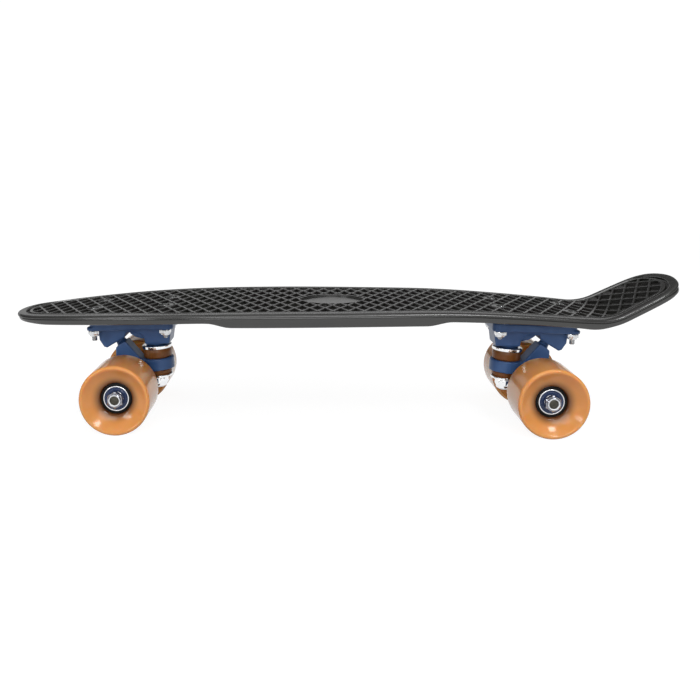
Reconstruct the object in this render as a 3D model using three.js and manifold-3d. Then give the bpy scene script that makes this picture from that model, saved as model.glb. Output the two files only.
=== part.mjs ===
// A small plastic cruiser skateboard: a moulded waffle-top deck on two kingpin trucks with four wheels.
// Millimetres, +Z up. The nose points to -X, the tail to +X, and the wheels stand on the plane z = 0.

import * as THREE from 'three';
import { mergeVertices, mergeGeometries } from 'three/addons/utils/BufferGeometryUtils.js';
import Module from 'manifold-3d';

const wasm = await Module();
wasm.setup();

// Driving dimensions
const wheelbase = 368;
const wheelDiameter = 60;
const wheelWidth = 45;
const deckWidth = 155;
const deckOverPlates = 17.2;
const noseOverhang = 100.6;
const tailFlat = 53.5;
const kickLength = 73.5;
const kickAngle = THREE.MathUtils.degToRad(26.5);
const truckTilt = THREE.MathUtils.degToRad(1.5);

// Clearances: what touches on the real board keeps this gap, and cutting solids run over by this much
const fit = 0.3;
const overrun = 3;

// Deck
const noseDrop = 10.8;
const kickDrop = 8.5;
const kickBend = 13;
const rimWidth = 8.2;
const rimRound = 2.2;
const lipDepth = 3.2;
const lipStep = 1.2;
const grooveWidth = 1.8;
const grooveDepth = 2;
const webThickness = 5;
const webReveal = 0.6;
const skirtWall = 3.6;
const skirtDepth = 7;
const noseSkirtDepth = 4.6;
const bellyDepth = 10.4;
const kickSkirtDepth = 6.1;
const cellLength = 13.1;
const cellWidth = 26;
const cellDepth = 2.3;
const ribWidth = 2.2;
const padLength = 58;
const padWidth = 47;
const padFrame = 1.6;
const padSink = 1.4;
const stiffenerWall = 2.6;
const stiffenerDepth = 9.2;
const stiffenerSpacing = 44;
const stiffenerSteps = 4;
const crossRibDepth = 7.6;
const webOverlap = 1;
const plateSeatMargin = 3;

// Wheels, bearings and axle
const axleDiameter = 8;
const axleLength = 141;
const bearingDiameter = 22;
const bearingWidth = 7;
const bearingGap = 10;
const bearingOuterFace = 63.5;
const wheelOuterFace = 73;
const washerDiameter = 11.6;
const washerThickness = 0.8;
const spacerWall = 1.5;
const shieldInner = 6.2;
const shieldOuter = 9.6;
const shieldRecess = 0.4;
const axleNutAcross = 12.7;
const axleNutHeight = 6.4;

// A wheel's section, as [radius, distance past the wheel's middle towards its outer face]
const outerFaceProfile = [[25, 19.8], [28.6, 22.5]];
const treadEdge = 20.8;
const innerFaceProfile = [[28.2, -22.5], [22, -20.5]];

// Truck, measured from the axle's middle: u points to the pivot's side, h points up
const boltSpacingLong = 63.5;
const boltSpacingWide = 41.3;
const boltPatternU = -4.75;
const boltDiameter = 4.8;
const boltHeadDiameter = 9.6;
const boltLength = 28.6;
const boltNutAcross = 9.5;
const boltNutHeight = 5;
const boltHeadHeight = 2.6;
const boltSink = 0.6;
const plateEndMargin = 5.75;
const plateSideMargin = 6.35;
const plateLength = boltSpacingLong + 2 * plateEndMargin;
const plateWidth = boltSpacingWide + 2 * plateSideMargin;
const plateThickness = 7.5;
const plateCentreU = -6.6;
const plateUnderside = 50.9;
const plateCorner = 7;
const blockWidth = 28;
const bossDiameter = 20;
const bossHeight = 4;

// The blocks under the baseplate seen from the side, as [u, h]: the kingpin's block, then the pivot's
const kingpinBlockProfile = [
  [-41.2, 54.6], [-38.2, 35.3], [-16.5, 35.3], [-15.4, 41.5], [-12.9, 44.6], [-9, 46.5], [0.5, 46.5],
];
const pivotBlockProfile = [[18.2, 32.6], [21, 33.6], [24.8, 39.8], [25.4, 47], [25.6, 54.6]];

// A narrower rib behind the arch between the two blocks
const archRibProfile = [[-18, 39], [-13, 39.2], [-7.5, 40.6], [-3, 43.2], [0, 47], [0, 54.6], [-18, 54.6]];
const archRibWidth = 15;

const ringU = -25.4;
const ringH = 15.7;
const kingpinTilt = THREE.MathUtils.degToRad(2.5);
const kingpinDiameter = 9.5;
const ringDiameter = 29;
const ringThickness = 10.6;
const ringBore = 13;
const upperBushingDiameter = 25.4;
const upperBushingHeight = 11.6;
const lowerBushingDiameter = 23;
const lowerBushingHeight = 7;
const seatDepth = 1.3;
const bushingSeatDiameter = 22;
const bushingEndInset = 0.7;
const cupWall = 1.2;
const upperCupLip = 2.2;
const lowerCupLip = 1.3;
const kingpinNutAcross = 14.3;
const kingpinNutHeight = 8.4;
const kingpinHeadAcross = 14;
const kingpinHeadHeight = 6;
const kingpinTail = 1.2;
const pivotU = 12.2;
const pivotH = 43.5;
const stemAngle = THREE.MathUtils.degToRad(60.6);
const pivotBallDiameter = 9.2;
const pivotCupWall = 1.6;
const pivotMouth = 6.4;
const pivotMouthReach = 8;
const neckDiameter = 7.6;
const neckLength = 7.4;
const flareLength = 9.6;
const stemDiameter = 9;
const stemLength = 28;

// The hanger's web seen from the side, from under its ring round the axle and up along the stem
const hangerWebProfile = [
  [-9.1, -5.2], [0, -9.8], [10.5, 5.2], [10.6, 16.7], [10.4, 31.4], [6.6, 34.4], [3, 36.8],
];
const hangerWebWidth = 18;
const ringChamfer = 0.7;
const beamDiameter = 21;
const beamEndDiameter = 17;
const beamFaceDiameter = 15;
const beamFace = 38.4;
const beamShoulder = 2.4;
const wingReach = 34;
const wingTop = 22;
const wingFoot = 4;
const wingThickness = 9;

// Counts of facets
const wheelFacets = 18;
const roundFacets = 14;
const smallFacets = 10;
const boltFacets = 8;
const cornerFacets = 3;
const ovalFacets = 6;

// Shares of a nut's height and width, of the ball's radius, and of the reach to the truck pads
const nutHexShare = 0.72;
const nutCollarShare = 0.88;
const neckShare = 0.55;
const crossRibShares = [-0.5, 0, 0.5];

const axleHeight = wheelDiameter / 2;
const plateTop = plateUnderside + plateThickness;
const deckTopHeight = axleHeight + plateTop + deckOverPlates;
const Y = new THREE.Vector3(0, 1, 0);

const plastic = new THREE.MeshStandardMaterial({ color: 0x17181a, roughness: 0.42, metalness: 0 });
const bluePaint = new THREE.MeshStandardMaterial({ color: 0x243a6b, roughness: 0.35, metalness: 0.2 });
const chrome = new THREE.MeshStandardMaterial({ color: 0xd8dade, roughness: 0.15, metalness: 1 });
const steel = new THREE.MeshStandardMaterial({ color: 0xa8aaad, roughness: 0.3, metalness: 1 });
const darkSteel = new THREE.MeshStandardMaterial({ color: 0x26272a, roughness: 0.45, metalness: 0.8 });
const urethane = new THREE.MeshStandardMaterial({ color: 0xd88a45, roughness: 0.25, metalness: 0 });
const brownUrethane = new THREE.MeshStandardMaterial({ color: 0x8a4a20, roughness: 0.35, metalness: 0 });
const blackUrethane = new THREE.MeshStandardMaterial({ color: 0x1b1b1c, roughness: 0.6, metalness: 0 });

// Solids that can be cut and joined

function closedGeometry(geometry) {
  const bare = geometry.clone();
  bare.deleteAttribute('normal');
  bare.deleteAttribute('uv');
  const merged = mergeVertices(bare);
  const kept = [];
  for (let i = 0; i < merged.index.count; i += 3) {
    const [a, b, c] = [0, 1, 2].map((k) => merged.index.getX(i + k));
    if (a !== b && b !== c && c !== a) kept.push(a, b, c);
  }
  merged.setIndex(kept);
  return merged;
}

function toSolid(geometry) {
  const closed = closedGeometry(geometry);
  const vertProperties = new Float32Array(closed.attributes.position.array);
  const triVerts = new Uint32Array(closed.index.array);
  return new wasm.Manifold(new wasm.Mesh({ numProp: 3, vertProperties, triVerts }));
}

function toGeometry(solid) {
  const { vertProperties, triVerts } = solid.getMesh();
  const geometry = new THREE.BufferGeometry();
  geometry.setAttribute('position', new THREE.BufferAttribute(vertProperties, 3));
  geometry.setIndex(new THREE.BufferAttribute(triVerts, 1));
  geometry.computeVertexNormals();
  return geometry;
}

function joinAll(geometries) {
  return geometries.map(toSolid).reduce((sum, solid) => sum.add(solid));
}

function cutAll(solid, geometries) {
  return geometries.map(toSolid).reduce((rest, cutter) => rest.subtract(cutter), solid);
}

function piece(name, geometry, material) {
  const mesh = new THREE.Mesh(geometry, material);
  mesh.name = name;
  return mesh;
}

// Plain forms

function facesOut(points, index) {
  const places = points.flatMap((p) => [p.x, p.y, p.z]);
  const geometry = new THREE.BufferGeometry();
  geometry.setAttribute('position', new THREE.Float32BufferAttribute(places, 3));
  geometry.setIndex(index);
  return isInsideOut(geometry) ? flipped(geometry) : geometry;
}

function isInsideOut(geometry) {
  const position = geometry.attributes.position;
  const corner = [new THREE.Vector3(), new THREE.Vector3(), new THREE.Vector3()];
  let volume = 0;
  for (let i = 0; i < geometry.index.count; i += 3) {
    corner.forEach((v, k) => v.fromBufferAttribute(position, geometry.index.getX(i + k)));
    volume += corner[0].dot(corner[1].clone().cross(corner[2]));
  }
  return volume < 0;
}

function flipped(geometry) {
  const index = geometry.index.array;
  for (let i = 0; i < index.length; i += 3) [index[i], index[i + 1]] = [index[i + 1], index[i]];
  return geometry;
}

function turned(profile, facets = smallFacets) {
  // A closed profile of [radius, height] turned about Z, with flat facets square to X and Y
  const points = [...profile, profile[0]].map(([r, h]) => new THREE.Vector2(r, h));
  const shape = new THREE.LatheGeometry(points, facets, Math.PI / facets);
  shape.rotateX(Math.PI / 2);
  return isInsideOut(shape) ? flipped(shape) : shape;
}

function rod(diameter, from, to, facets = smallFacets) {
  return turned([[0, from], [diameter / 2, from], [diameter / 2, to], [0, to]], facets);
}

function tube(outer, inner, from, to, facets = smallFacets) {
  return turned([[inner / 2, from], [outer / 2, from], [outer / 2, to], [inner / 2, to]], facets);
}

function hexRod(across, from, to) {
  return rod(across / Math.cos(Math.PI / 6), from, to, 6);
}

function lockNut(across, bore, height) {
  // A hexagon seated at z = 0 under the narrower collar that holds the locking ring
  const wide = across / 2 / Math.cos(Math.PI / 6);
  const hexTop = height * nutHexShare;
  const boreCorner = bore / 2 / Math.cos(Math.PI / 6);
  return turned([
    [boreCorner, 0], [wide, 0], [wide, hexTop], [wide * nutCollarShare, hexTop],
    [wide * nutCollarShare, height], [boreCorner, height],
  ], 6);
}

function sideExtrusion(points, width) {
  // A profile of [u, h] points seen from the side, given a width across the board
  const shape = new THREE.Shape(points.map(([u, h]) => new THREE.Vector2(u, h)));
  const body = new THREE.ExtrudeGeometry(shape, { depth: width, bevelEnabled: false });
  body.translate(0, 0, -width / 2);
  return body.rotateX(Math.PI / 2);
}

function roundedPlate(length, width, radius, from, to) {
  const [x, y] = [length / 2 - radius, width / 2 - radius];
  const shape = new THREE.Shape();
  shape.absarc(x, y, radius, 0, Math.PI / 2);
  shape.absarc(-x, y, radius, Math.PI / 2, Math.PI);
  shape.absarc(-x, -y, radius, Math.PI, Math.PI * 1.5);
  shape.absarc(x, -y, radius, Math.PI * 1.5, Math.PI * 2);
  const settings = { depth: to - from, bevelEnabled: false, curveSegments: cornerFacets };
  const plate = new THREE.ExtrudeGeometry(shape, settings);
  plate.translate(0, 0, from);
  return plate;
}

// The deck's spine: its side view along the middle, from the nose tip to the tail tip

const noseEnd = -(wheelbase / 2 + noseOverhang);
const kickStart = wheelbase / 2 + tailFlat;
const kickHeight = deckTopHeight - kickDrop;

// Each row: share of the reach from mid length, share of the drop at that reach
const noseCamberShares = [
  [1, 1], [0.93, 0.935], [0.842, 0.76], [0.736, 0.563], [0.61, 0.365], [0.45, 0.195], [0.25, 0.075],
  [0.08, 0.022],
];
const kickCamberShares = [
  [0.21, -0.02], [0.36, -0.022], [0.46, 0.035], [0.56, 0.15], [0.71, 0.4], [0.863, 0.715],
];

function spineCurve() {
  const points = [
    ...noseCamberShares.map(([x, drop]) => [noseEnd * x, deckTopHeight - noseDrop * drop]),
    ...kickCamberShares.map(([x, drop]) => [kickStart * x, deckTopHeight - kickDrop * drop]),
  ].map(([x, z]) => new THREE.Vector2(x, z));
  const corner = new THREE.Vector2(kickStart, kickHeight);
  const toCorner = corner.clone().sub(points.at(-1)).normalize();
  const upKick = new THREE.Vector2(Math.cos(kickAngle), Math.sin(kickAngle));
  const bendStart = corner.clone().addScaledVector(toCorner, -kickBend);
  const bendEnd = corner.clone().addScaledVector(upKick, kickBend);
  const tip = corner.clone().addScaledVector(upKick, kickLength);
  const path = new THREE.CurvePath();
  path.add(new THREE.SplineCurve([...points, bendStart]));
  path.add(new THREE.QuadraticBezierCurve(bendStart, corner, bendEnd));
  path.add(new THREE.LineCurve(bendEnd, tip));
  return path;
}

const spine = spineCurve();
const spineLength = spine.getLength();
const spineFront = spineLength - (kickStart + kickLength);

function bend(s, y, n) {
  // From the unbent deck (s along it, y across it, n up from the rim's top) to the bent one
  const share = THREE.MathUtils.clamp((s + spineFront) / spineLength, 0, 1);
  const past = s + spineFront - share * spineLength;
  const point = spine.getPoint(share);
  const along = spine.getTangent(share);
  return new THREE.Vector3(
    point.x + along.x * past - along.y * n,
    y,
    point.y + along.y * past + along.x * n,
  );
}

function spineHeightAt(x) {
  // The rim's height over the floor at a place along the board, before the kick
  let share = (x + spineFront) / spineLength;
  for (let i = 0; i < 4; i += 1) share += (x - spine.getPoint(share).x) / spineLength;
  return spine.getPoint(share).y;
}

// The deck's outline, unbent: share of the reach to nose or tail, share of half the width

const noseOutlineShares = [
  [1, 0], [0.9975, 0.12], [0.9895, 0.232], [0.9754, 0.342], [0.955, 0.43], [0.909, 0.538], [0.87, 0.605],
  [0.782, 0.725], [0.663, 0.848], [0.527, 0.9445], [0.387, 0.994], [0.25, 1], [0.12, 0.997], [0, 0.979],
];
const tailOutlineShares = [
  [0.161, 0.933], [0.3, 0.885], [0.45, 0.832], [0.58, 0.786], [0.665, 0.75], [0.715, 0.708],
  [0.759, 0.671], [0.8, 0.645], [0.86, 0.625], [0.905, 0.604], [0.94, 0.565], [0.9695, 0.467],
  [0.985, 0.35], [0.994, 0.22], [0.9985, 0.11], [1, 0],
];

function deckOutline() {
  const nose = noseOutlineShares.map(([s, w]) => [-spineFront * s, w * deckWidth / 2]);
  const tail = tailOutlineShares.map(([s, w]) => [(kickStart + kickLength) * s, w * deckWidth / 2]);
  const half = [...nose, ...tail].map(([s, w]) => new THREE.Vector3(s, w, 0));
  const otherHalf = half.slice(1, -1).reverse().map((p) => new THREE.Vector3(p.x, -p.y, 0));
  return [...half, ...otherHalf];
}

const outline = deckOutline();

function halfWidthAt(s) {
  const i = outline.findIndex((p, k) => k > 0 && p.x >= s);
  const [a, b] = [outline[i - 1], outline[i]];
  return THREE.MathUtils.mapLinear(s, a.x, b.x, a.y, b.y);
}

function insetOutline(inset) {
  return outline.map((point, i) => {
    const before = outline.at(i - 1);
    const after = outline[(i + 1) % outline.length];
    const along = after.clone().sub(before).normalize();
    return new THREE.Vector3(point.x + along.y * inset, point.y - along.x * inset, 0);
  });
}

function ringLoft(rings) {
  // Rings of bent points, joined ring to ring, with flat strips across the first and the last
  const count = rings[0].length;
  const last = (rings.length - 1) * count;
  const index = [];
  for (let i = 0; i < count; i += 1) {
    for (let r = 0; r < last; r += count) {
      const [a, b] = [r + i, r + (i + 1) % count];
      index.push(a, a + count, b, b, a + count, b + count);
    }
  }
  for (let i = 0; i < count / 2; i += 1) {
    const [a, b, c, d] = [i, i + 1, (count - i) % count, count - i - 1];
    index.push(a, b, d, a, d, c);
    index.push(last + a, last + d, last + b, last + a, last + c, last + d);
  }
  return facesOut(rings.flat(), index);
}

// The skirt hangs lower between the trucks, and less at the tip and round the kick. Shares of the reach
const noseSkirtShare = 0.93;
const noseRampShare = 0.07;
const bellyFrontShare = 0.3345;
const bellyRearShare = 0.2856;
const bellyRampShare = 0.035;
const kickSkirtShare = 0.76;
const kickRampShare = 0.08;

function stepAt(s, middle, half) {
  // Rises from 0 to 1 over a ramp round the middle
  return THREE.MathUtils.smoothstep(s, middle - half, middle + half);
}

function skirtAt(s) {
  const rear = kickStart + kickLength;
  const nose = stepAt(s, -spineFront * noseSkirtShare, spineFront * noseRampShare);
  const front = stepAt(s, -spineFront * bellyFrontShare, spineFront * bellyRampShare);
  const back = 1 - stepAt(s, rear * bellyRearShare, rear * bellyRampShare);
  const kick = stepAt(s, rear * kickSkirtShare, rear * kickRampShare);
  const belly = (bellyDepth - skirtDepth) * Math.min(front, back);
  const ends = (noseSkirtDepth - skirtDepth) * (1 - nose) + (kickSkirtDepth - skirtDepth) * kick;
  return skirtDepth + belly + ends;
}

function webAt(s) {
  // The web never hangs below the skirt round it
  return Math.min(webThickness, skirtAt(s) - webReveal);
}

function ringAt(inset, depth) {
  const depthAt = typeof depth === 'function' ? depth : () => depth;
  return insetOutline(inset).map((p) => bend(p.x, p.y, -depthAt(p.x)));
}

function deckBlank() {
  const field = rimWidth + grooveWidth;
  const skirtInset = lipStep + skirtWall;
  return ringLoft([
    ringAt(field, 0),
    ringAt(field - fit, grooveDepth),
    ringAt(rimWidth + fit, grooveDepth),
    ringAt(rimWidth, 0),
    ringAt(rimRound, 0),
    ringAt(0, rimRound),
    ringAt(0, lipDepth - fit),
    ringAt(lipStep, lipDepth),
    ringAt(lipStep + fit, skirtAt),
    ringAt(skirtInset - fit, skirtAt),
    ringAt(skirtInset + fit, webAt),
  ]);
}

// The waffle: diamond pockets between crossing ribs, kept off the oval pad and the bolt bosses

function prism(s, corners, top, depth) {
  // A straight prism square to the bent deck at s, over corners of [along, across]
  const middle = bend(s, 0, 0);
  const up = bend(s, 0, 1).sub(middle);
  const along = Y.clone().cross(up);
  const place = (height) => ([a, c]) => middle.clone()
    .addScaledVector(along, a).addScaledVector(Y, c).addScaledVector(up, height);
  const count = corners.length;
  const index = [];
  for (let i = 0; i < count; i += 1) {
    const next = (i + 1) % count;
    index.push(i, i + count, next, next, i + count, next + count);
    if (i > 0 && next > 0) index.push(0, i, next, count, next + count, i + count);
  }
  return facesOut([...corners.map(place(top)), ...corners.map(place(-depth))], index);
}

function isInside(border, s, y) {
  let inside = false;
  border.forEach((a, i) => {
    const b = border[(i + 1) % border.length];
    const crosses = (a.y > y) !== (b.y > y);
    if (crosses && s < (b.x - a.x) * (y - a.y) / (b.y - a.y) + a.x) inside = !inside;
  });
  return inside;
}

function wafflePockets() {
  // Whole cells in staggered rows, with their corners drawn in by half a rib on each side
  const slant = Math.hypot(cellLength, cellWidth);
  const reach = cellLength / 2 - ribWidth * slant / cellWidth / 2;
  const rise = cellWidth / 2 - ribWidth * slant / cellLength / 2;
  const rowPitch = cellWidth / 2;
  const border = insetOutline(rimWidth + grooveWidth + fit);
  const rows = Math.ceil(deckWidth / 2 / rowPitch);
  const columns = Math.ceil(spineLength / 2 / cellLength) + 1;
  const pockets = [];
  for (let row = -rows; row < rows; row += 1) {
    const y = (row + 1 / 2) * rowPitch;
    for (let column = -columns; column <= columns; column += 1) {
      const s = (column + (row % 2 === 0 ? 0 : 1 / 2)) * cellLength;
      const corners = [[-reach, y], [0, y - rise], [reach, y], [0, y + rise]];
      const whole = corners.every(([a, c]) => isInside(border, s + a, c));
      if (whole) pockets.push(prism(s, corners, overrun, cellDepth));
    }
  }
  return mergeGeometries(pockets);
}

function ovalShape(length, width) {
  // A pointed oval: two arcs that meet on the deck's middle line
  const [reach, rise] = [length / 2, width / 2];
  const radius = (reach * reach + rise * rise) / (2 * rise);
  const half = Math.asin(reach / radius);
  const shape = new THREE.Shape();
  shape.absarc(0, rise - radius, radius, Math.PI / 2 - half, Math.PI / 2 + half);
  shape.absarc(0, radius - rise, radius, Math.PI * 1.5 - half, Math.PI * 1.5 + half);
  return shape;
}

function ovalBlock(grow, top, bottom) {
  const shape = ovalShape(padLength + 2 * grow, padWidth + 2 * grow);
  const settings = { depth: top - bottom, bevelEnabled: false, curveSegments: ovalFacets };
  const block = new THREE.ExtrudeGeometry(shape, settings);
  block.translate(0, 0, bottom);
  return block;
}

// Trucks stand at the axles, with the pivot on the side of the board's near end

const trucks = [{ end: 'front', side: -1 }, { end: 'rear', side: 1 }];

function truckGroup({ side }) {
  const group = new THREE.Group();
  group.position.set(side * wheelbase / 2, 0, axleHeight);
  group.rotation.set(0, truckTilt, side > 0 ? 0 : Math.PI, 'ZYX');
  group.updateMatrix();
  return group;
}

const boltPlaces = [[1, 1], [1, -1], [-1, 1], [-1, -1]].map(([along, across]) => ({
  u: boltPatternU + along * boltSpacingLong / 2,
  v: across * boltSpacingWide / 2,
}));

function boltTop(truck, { u }) {
  // Height over the axle at which a bolt's head is level with the deck's top
  const x = truck.side * (wheelbase / 2 + u);
  const point = new THREE.Vector3(x, 0, spineHeightAt(x));
  return point.applyMatrix4(truckGroup(truck).matrix.invert()).z - boltSink;
}

// The deck's underside and its holes

function truckPads() {
  // Solid seats from the baseplates up into the deck's web
  const grow = 2 * plateSeatMargin;
  const corner = plateCorner + plateSeatMargin;
  return trucks.map((truck) => {
    const top = Math.min(...boltPlaces.map((place) => boltTop(truck, place))) - webOverlap;
    const pad = roundedPlate(plateLength + grow, plateWidth + grow, corner, plateTop + fit, top);
    pad.translate(plateCentreU, 0, 0);
    return pad.applyMatrix4(truckGroup(truck).matrix);
  });
}

function boltHoles() {
  const hole = boltDiameter / 2 + fit;
  const head = boltHeadDiameter / 2 + fit;
  return trucks.flatMap((truck) => boltPlaces.map((place) => {
    const top = boltTop(truck, place);
    const cutter = turned([
      [0, plateTop - overrun], [hole, plateTop - overrun], [hole, top - boltHeadHeight - fit],
      [head, top - fit], [head, top + overrun], [0, top + overrun],
    ], boltFacets);
    cutter.translate(place.u, place.v, 0);
    return cutter.applyMatrix4(truckGroup(truck).matrix);
  }));
}

function boltBosses() {
  return trucks.flatMap((truck) => boltPlaces.map((place) => {
    const boss = rod(boltHeadDiameter + 2 * ribWidth, plateTop, deckTopHeight, boltFacets);
    boss.translate(place.u, place.v, 0);
    return boss.applyMatrix4(truckGroup(truck).matrix);
  }));
}

function bentBar(from, to, y, width, depth, steps) {
  // A bar under the deck's web that follows its bend
  const top = webOverlap - webThickness;
  const points = [];
  const index = [0, 2, 1, 0, 3, 2];
  for (let i = 0; i <= steps; i += 1) {
    const s = from + ((to - from) * i) / steps;
    for (const [side, n] of [[-1, top], [1, top], [1, -depth], [-1, -depth]]) {
      points.push(bend(s, y + side * width / 2, n));
    }
  }
  for (let a = 0; a < steps * 4; a += 1) {
    const b = a % 4 === 3 ? a - 3 : a + 1;
    index.push(a, b, a + 4, b, b + 4, a + 4);
  }
  const last = steps * 4;
  index.push(last, last + 1, last + 2, last, last + 2, last + 3);
  return facesOut(points, index);
}

function stiffeners() {
  // Two long ribs between the truck pads, and cross ribs from skirt to skirt
  const reach = wheelbase / 2 + plateCentreU - plateLength / 2;
  const long = [-1, 1].map((side) => bentBar(
    -reach, reach, side * stiffenerSpacing / 2, stiffenerWall, stiffenerDepth, stiffenerSteps,
  ));
  const cross = crossRibShares.map((share) => {
    const s = share * reach;
    const width = 2 * (halfWidthAt(s) - lipStep - skirtWall / 2);
    return bentBar(s - stiffenerWall / 2, s + stiffenerWall / 2, 0, width, crossRibDepth, 1);
  });
  return [...long, ...cross];
}

function deckGeometry() {
  const padTop = spineHeightAt(0) - padSink;
  const kept = ovalBlock(padFrame, deckTopHeight + overrun, padTop - cellDepth - overrun);
  const pockets = cutAll(toSolid(wafflePockets()), [kept, ...boltBosses()]);
  const body = joinAll([deckBlank(), ...truckPads(), ...stiffeners()]);
  const pad = ovalBlock(0, padTop + overrun, padTop);
  return toGeometry(cutAll(body.subtract(pockets), [...boltHoles(), pad]));
}

// Truck pieces. The kingpin's frame has its origin in the hanger's ring, with Z up along the kingpin

const kingpinFrame = new THREE.Matrix4().makeRotationY(kingpinTilt).setPosition(ringU, 0, ringH);
const ringSeat = ringThickness / 2 - seatDepth;
const upperBushingTop = ringSeat + fit + upperBushingHeight;
const upperWasherTop = upperBushingTop + fit + cupWall;
const bossFace = upperWasherTop + fit;
const lowerBushingBottom = -(ringSeat + fit + lowerBushingHeight);
const lowerWasherBottom = lowerBushingBottom - fit - cupWall;
const kingpinNutTop = lowerWasherBottom - fit;
const kingpinHeadTop = plateTop - ringH - kingpinHeadAcross * Math.sin(kingpinTilt) - fit;
const kingpinBore = kingpinDiameter + 2 * fit;

// The pivot's frame has its origin in the ball, with Z out along the stem
const pivotFrame = new THREE.Matrix4().makeRotationY(Math.PI / 2 - stemAngle).setPosition(pivotU, 0, pivotH);
const pivotCupBore = pivotBallDiameter + 2 * fit;
const pivotCupDiameter = pivotCupBore + 2 * pivotCupWall;
const pivotCupTop = pivotCupBore / 2 + pivotCupWall;

function mouthPoint(across) {
  // A point on the pivot block's slanted face, across the mouth of the pivot's cup
  const point = new THREE.Vector3(across, 0, -pivotMouth).applyMatrix4(pivotFrame);
  return [point.x, point.z];
}

function baseplateGeometry() {
  const plate = roundedPlate(plateLength, plateWidth, plateCorner, plateUnderside, plateTop);
  plate.translate(plateCentreU, 0, 0);
  const mouth = [mouthPoint(-pivotMouthReach), mouthPoint(pivotMouthReach)];
  const blocks = sideExtrusion([...kingpinBlockProfile, ...mouth, ...pivotBlockProfile], blockWidth);
  const archRib = sideExtrusion(archRibProfile, archRibWidth);
  const boss = rod(bossDiameter, bossFace, bossFace + bossHeight, roundFacets).applyMatrix4(kingpinFrame);
  const headPocket = hexRod(kingpinHeadAcross + 2 * fit, kingpinHeadTop - kingpinHeadHeight - fit, plateTop);
  const holes = [
    rod(kingpinBore, 0, plateTop).applyMatrix4(kingpinFrame),
    headPocket.applyMatrix4(kingpinFrame),
    rod(pivotCupDiameter + 2 * fit, -pivotMouth - overrun, pivotCupTop + fit).applyMatrix4(pivotFrame),
    ...boltPlaces.map(({ u, v }) => {
      const hole = rod(boltDiameter + 2 * fit, plateUnderside - overrun, plateTop + overrun, boltFacets);
      return hole.translate(u, v, 0);
    }),
  ];
  return toGeometry(cutAll(joinAll([plate, blocks, archRib, boss]), holes));
}

function pivotCupGeometry() {
  const bore = pivotCupBore / 2;
  const dome = [90, 60, 30, 0].map((angle) => THREE.MathUtils.degToRad(angle));
  return turned([
    ...dome.map((angle) => [bore * Math.cos(angle), bore * Math.sin(angle)]),
    [bore, -pivotMouth], [pivotCupDiameter / 2, -pivotMouth],
    [pivotCupDiameter / 2, pivotCupTop], [0, pivotCupTop],
  ]);
}

function kingpinGeometry() {
  const end = kingpinNutTop - kingpinNutHeight - kingpinTail;
  const headFoot = kingpinHeadTop - kingpinHeadHeight;
  const shank = turned([
    [0, end], [kingpinDiameter / 2 - kingpinTail / 2, end], [kingpinDiameter / 2, end + kingpinTail / 2],
    [kingpinDiameter / 2, kingpinHeadTop - fit], [0, kingpinHeadTop - fit],
  ]);
  return toGeometry(joinAll([shank, hexRod(kingpinHeadAcross, headFoot, kingpinHeadTop)]));
}

function bushingGeometry(diameter, height) {
  // Narrow where it sits in the hanger's ring at z = 0, drawn in a little inside the washer's cup
  const bore = kingpinBore / 2;
  const [seat, wide, end] = [bushingSeatDiameter / 2, diameter / 2, diameter / 2 - bushingEndInset];
  return turned([
    [bore, 0], [seat, 0], [seat, seatDepth], [wide, seatDepth + bushingEndInset],
    [wide, height - 2 * upperCupLip], [end, height - upperCupLip], [end, height], [bore, height],
  ]);
}

function cupWasherGeometry(bushingDiameter, lip) {
  // A dished washer: its disc stands on z = 0 and its lip reaches down round the bushing's end
  const inner = bushingDiameter / 2 - bushingEndInset + fit;
  const bore = kingpinBore / 2;
  return turned([
    [bore, 0], [inner, 0], [inner, -lip], [inner + cupWall, -lip], [inner + cupWall, cupWall / 2],
    [inner, cupWall], [bore, cupWall],
  ]);
}

function hangerGeometry() {
  const half = ringThickness / 2;
  const rim = ringDiameter / 2 - ringChamfer;
  const ring = turned([
    [0, -half], [rim, -half], [ringDiameter / 2, ringChamfer - half],
    [ringDiameter / 2, half - ringChamfer], [rim, half], [0, half],
  ], roundFacets).applyMatrix4(kingpinFrame);
  const [top, bottom] = [ringH + half - ringChamfer, ringH - half + ringChamfer];
  const web = sideExtrusion([
    [ringU, bottom], [ringU + rim, bottom], ...hangerWebProfile, [ringU + rim, top], [ringU, top],
  ], hangerWebWidth);
  const spigot = washerDiameter / 2;
  const halfBeam = [
    [0, spigotFace], [spigot, spigotFace], [spigot, beamFace], [beamFaceDiameter / 2, beamFace],
    [beamEndDiameter / 2, beamFace - beamShoulder], [beamDiameter / 2, hangerWebWidth / 2],
  ];
  const otherHalf = halfBeam.map(([r, y]) => [r, -y]).reverse();
  const beam = turned([...halfBeam, ...otherHalf]).rotateX(Math.PI / 2);
  const wings = sideExtrusion([
    [-wingReach, wingFoot], [-hangerWebWidth / 2, wingTop], [hangerWebWidth / 2, wingTop],
    [wingReach, wingFoot], [wingReach, -wingFoot], [-wingReach, -wingFoot],
  ], wingThickness).rotateZ(Math.PI / 2);
  const cuts = [
    rod(ringBore, -ringDiameter, ringDiameter).applyMatrix4(kingpinFrame),
    rod(bushingSeatDiameter + 2 * fit, ringSeat, half + overrun).applyMatrix4(kingpinFrame),
    rod(bushingSeatDiameter + 2 * fit, -half - overrun, -ringSeat).applyMatrix4(kingpinFrame),
    rod(axleDiameter + 2 * fit, -axleLength, axleLength).rotateX(Math.PI / 2),
  ];
  return toGeometry(cutAll(joinAll([ring, web, beam, wings, stemForm()]), cuts));
}

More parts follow.
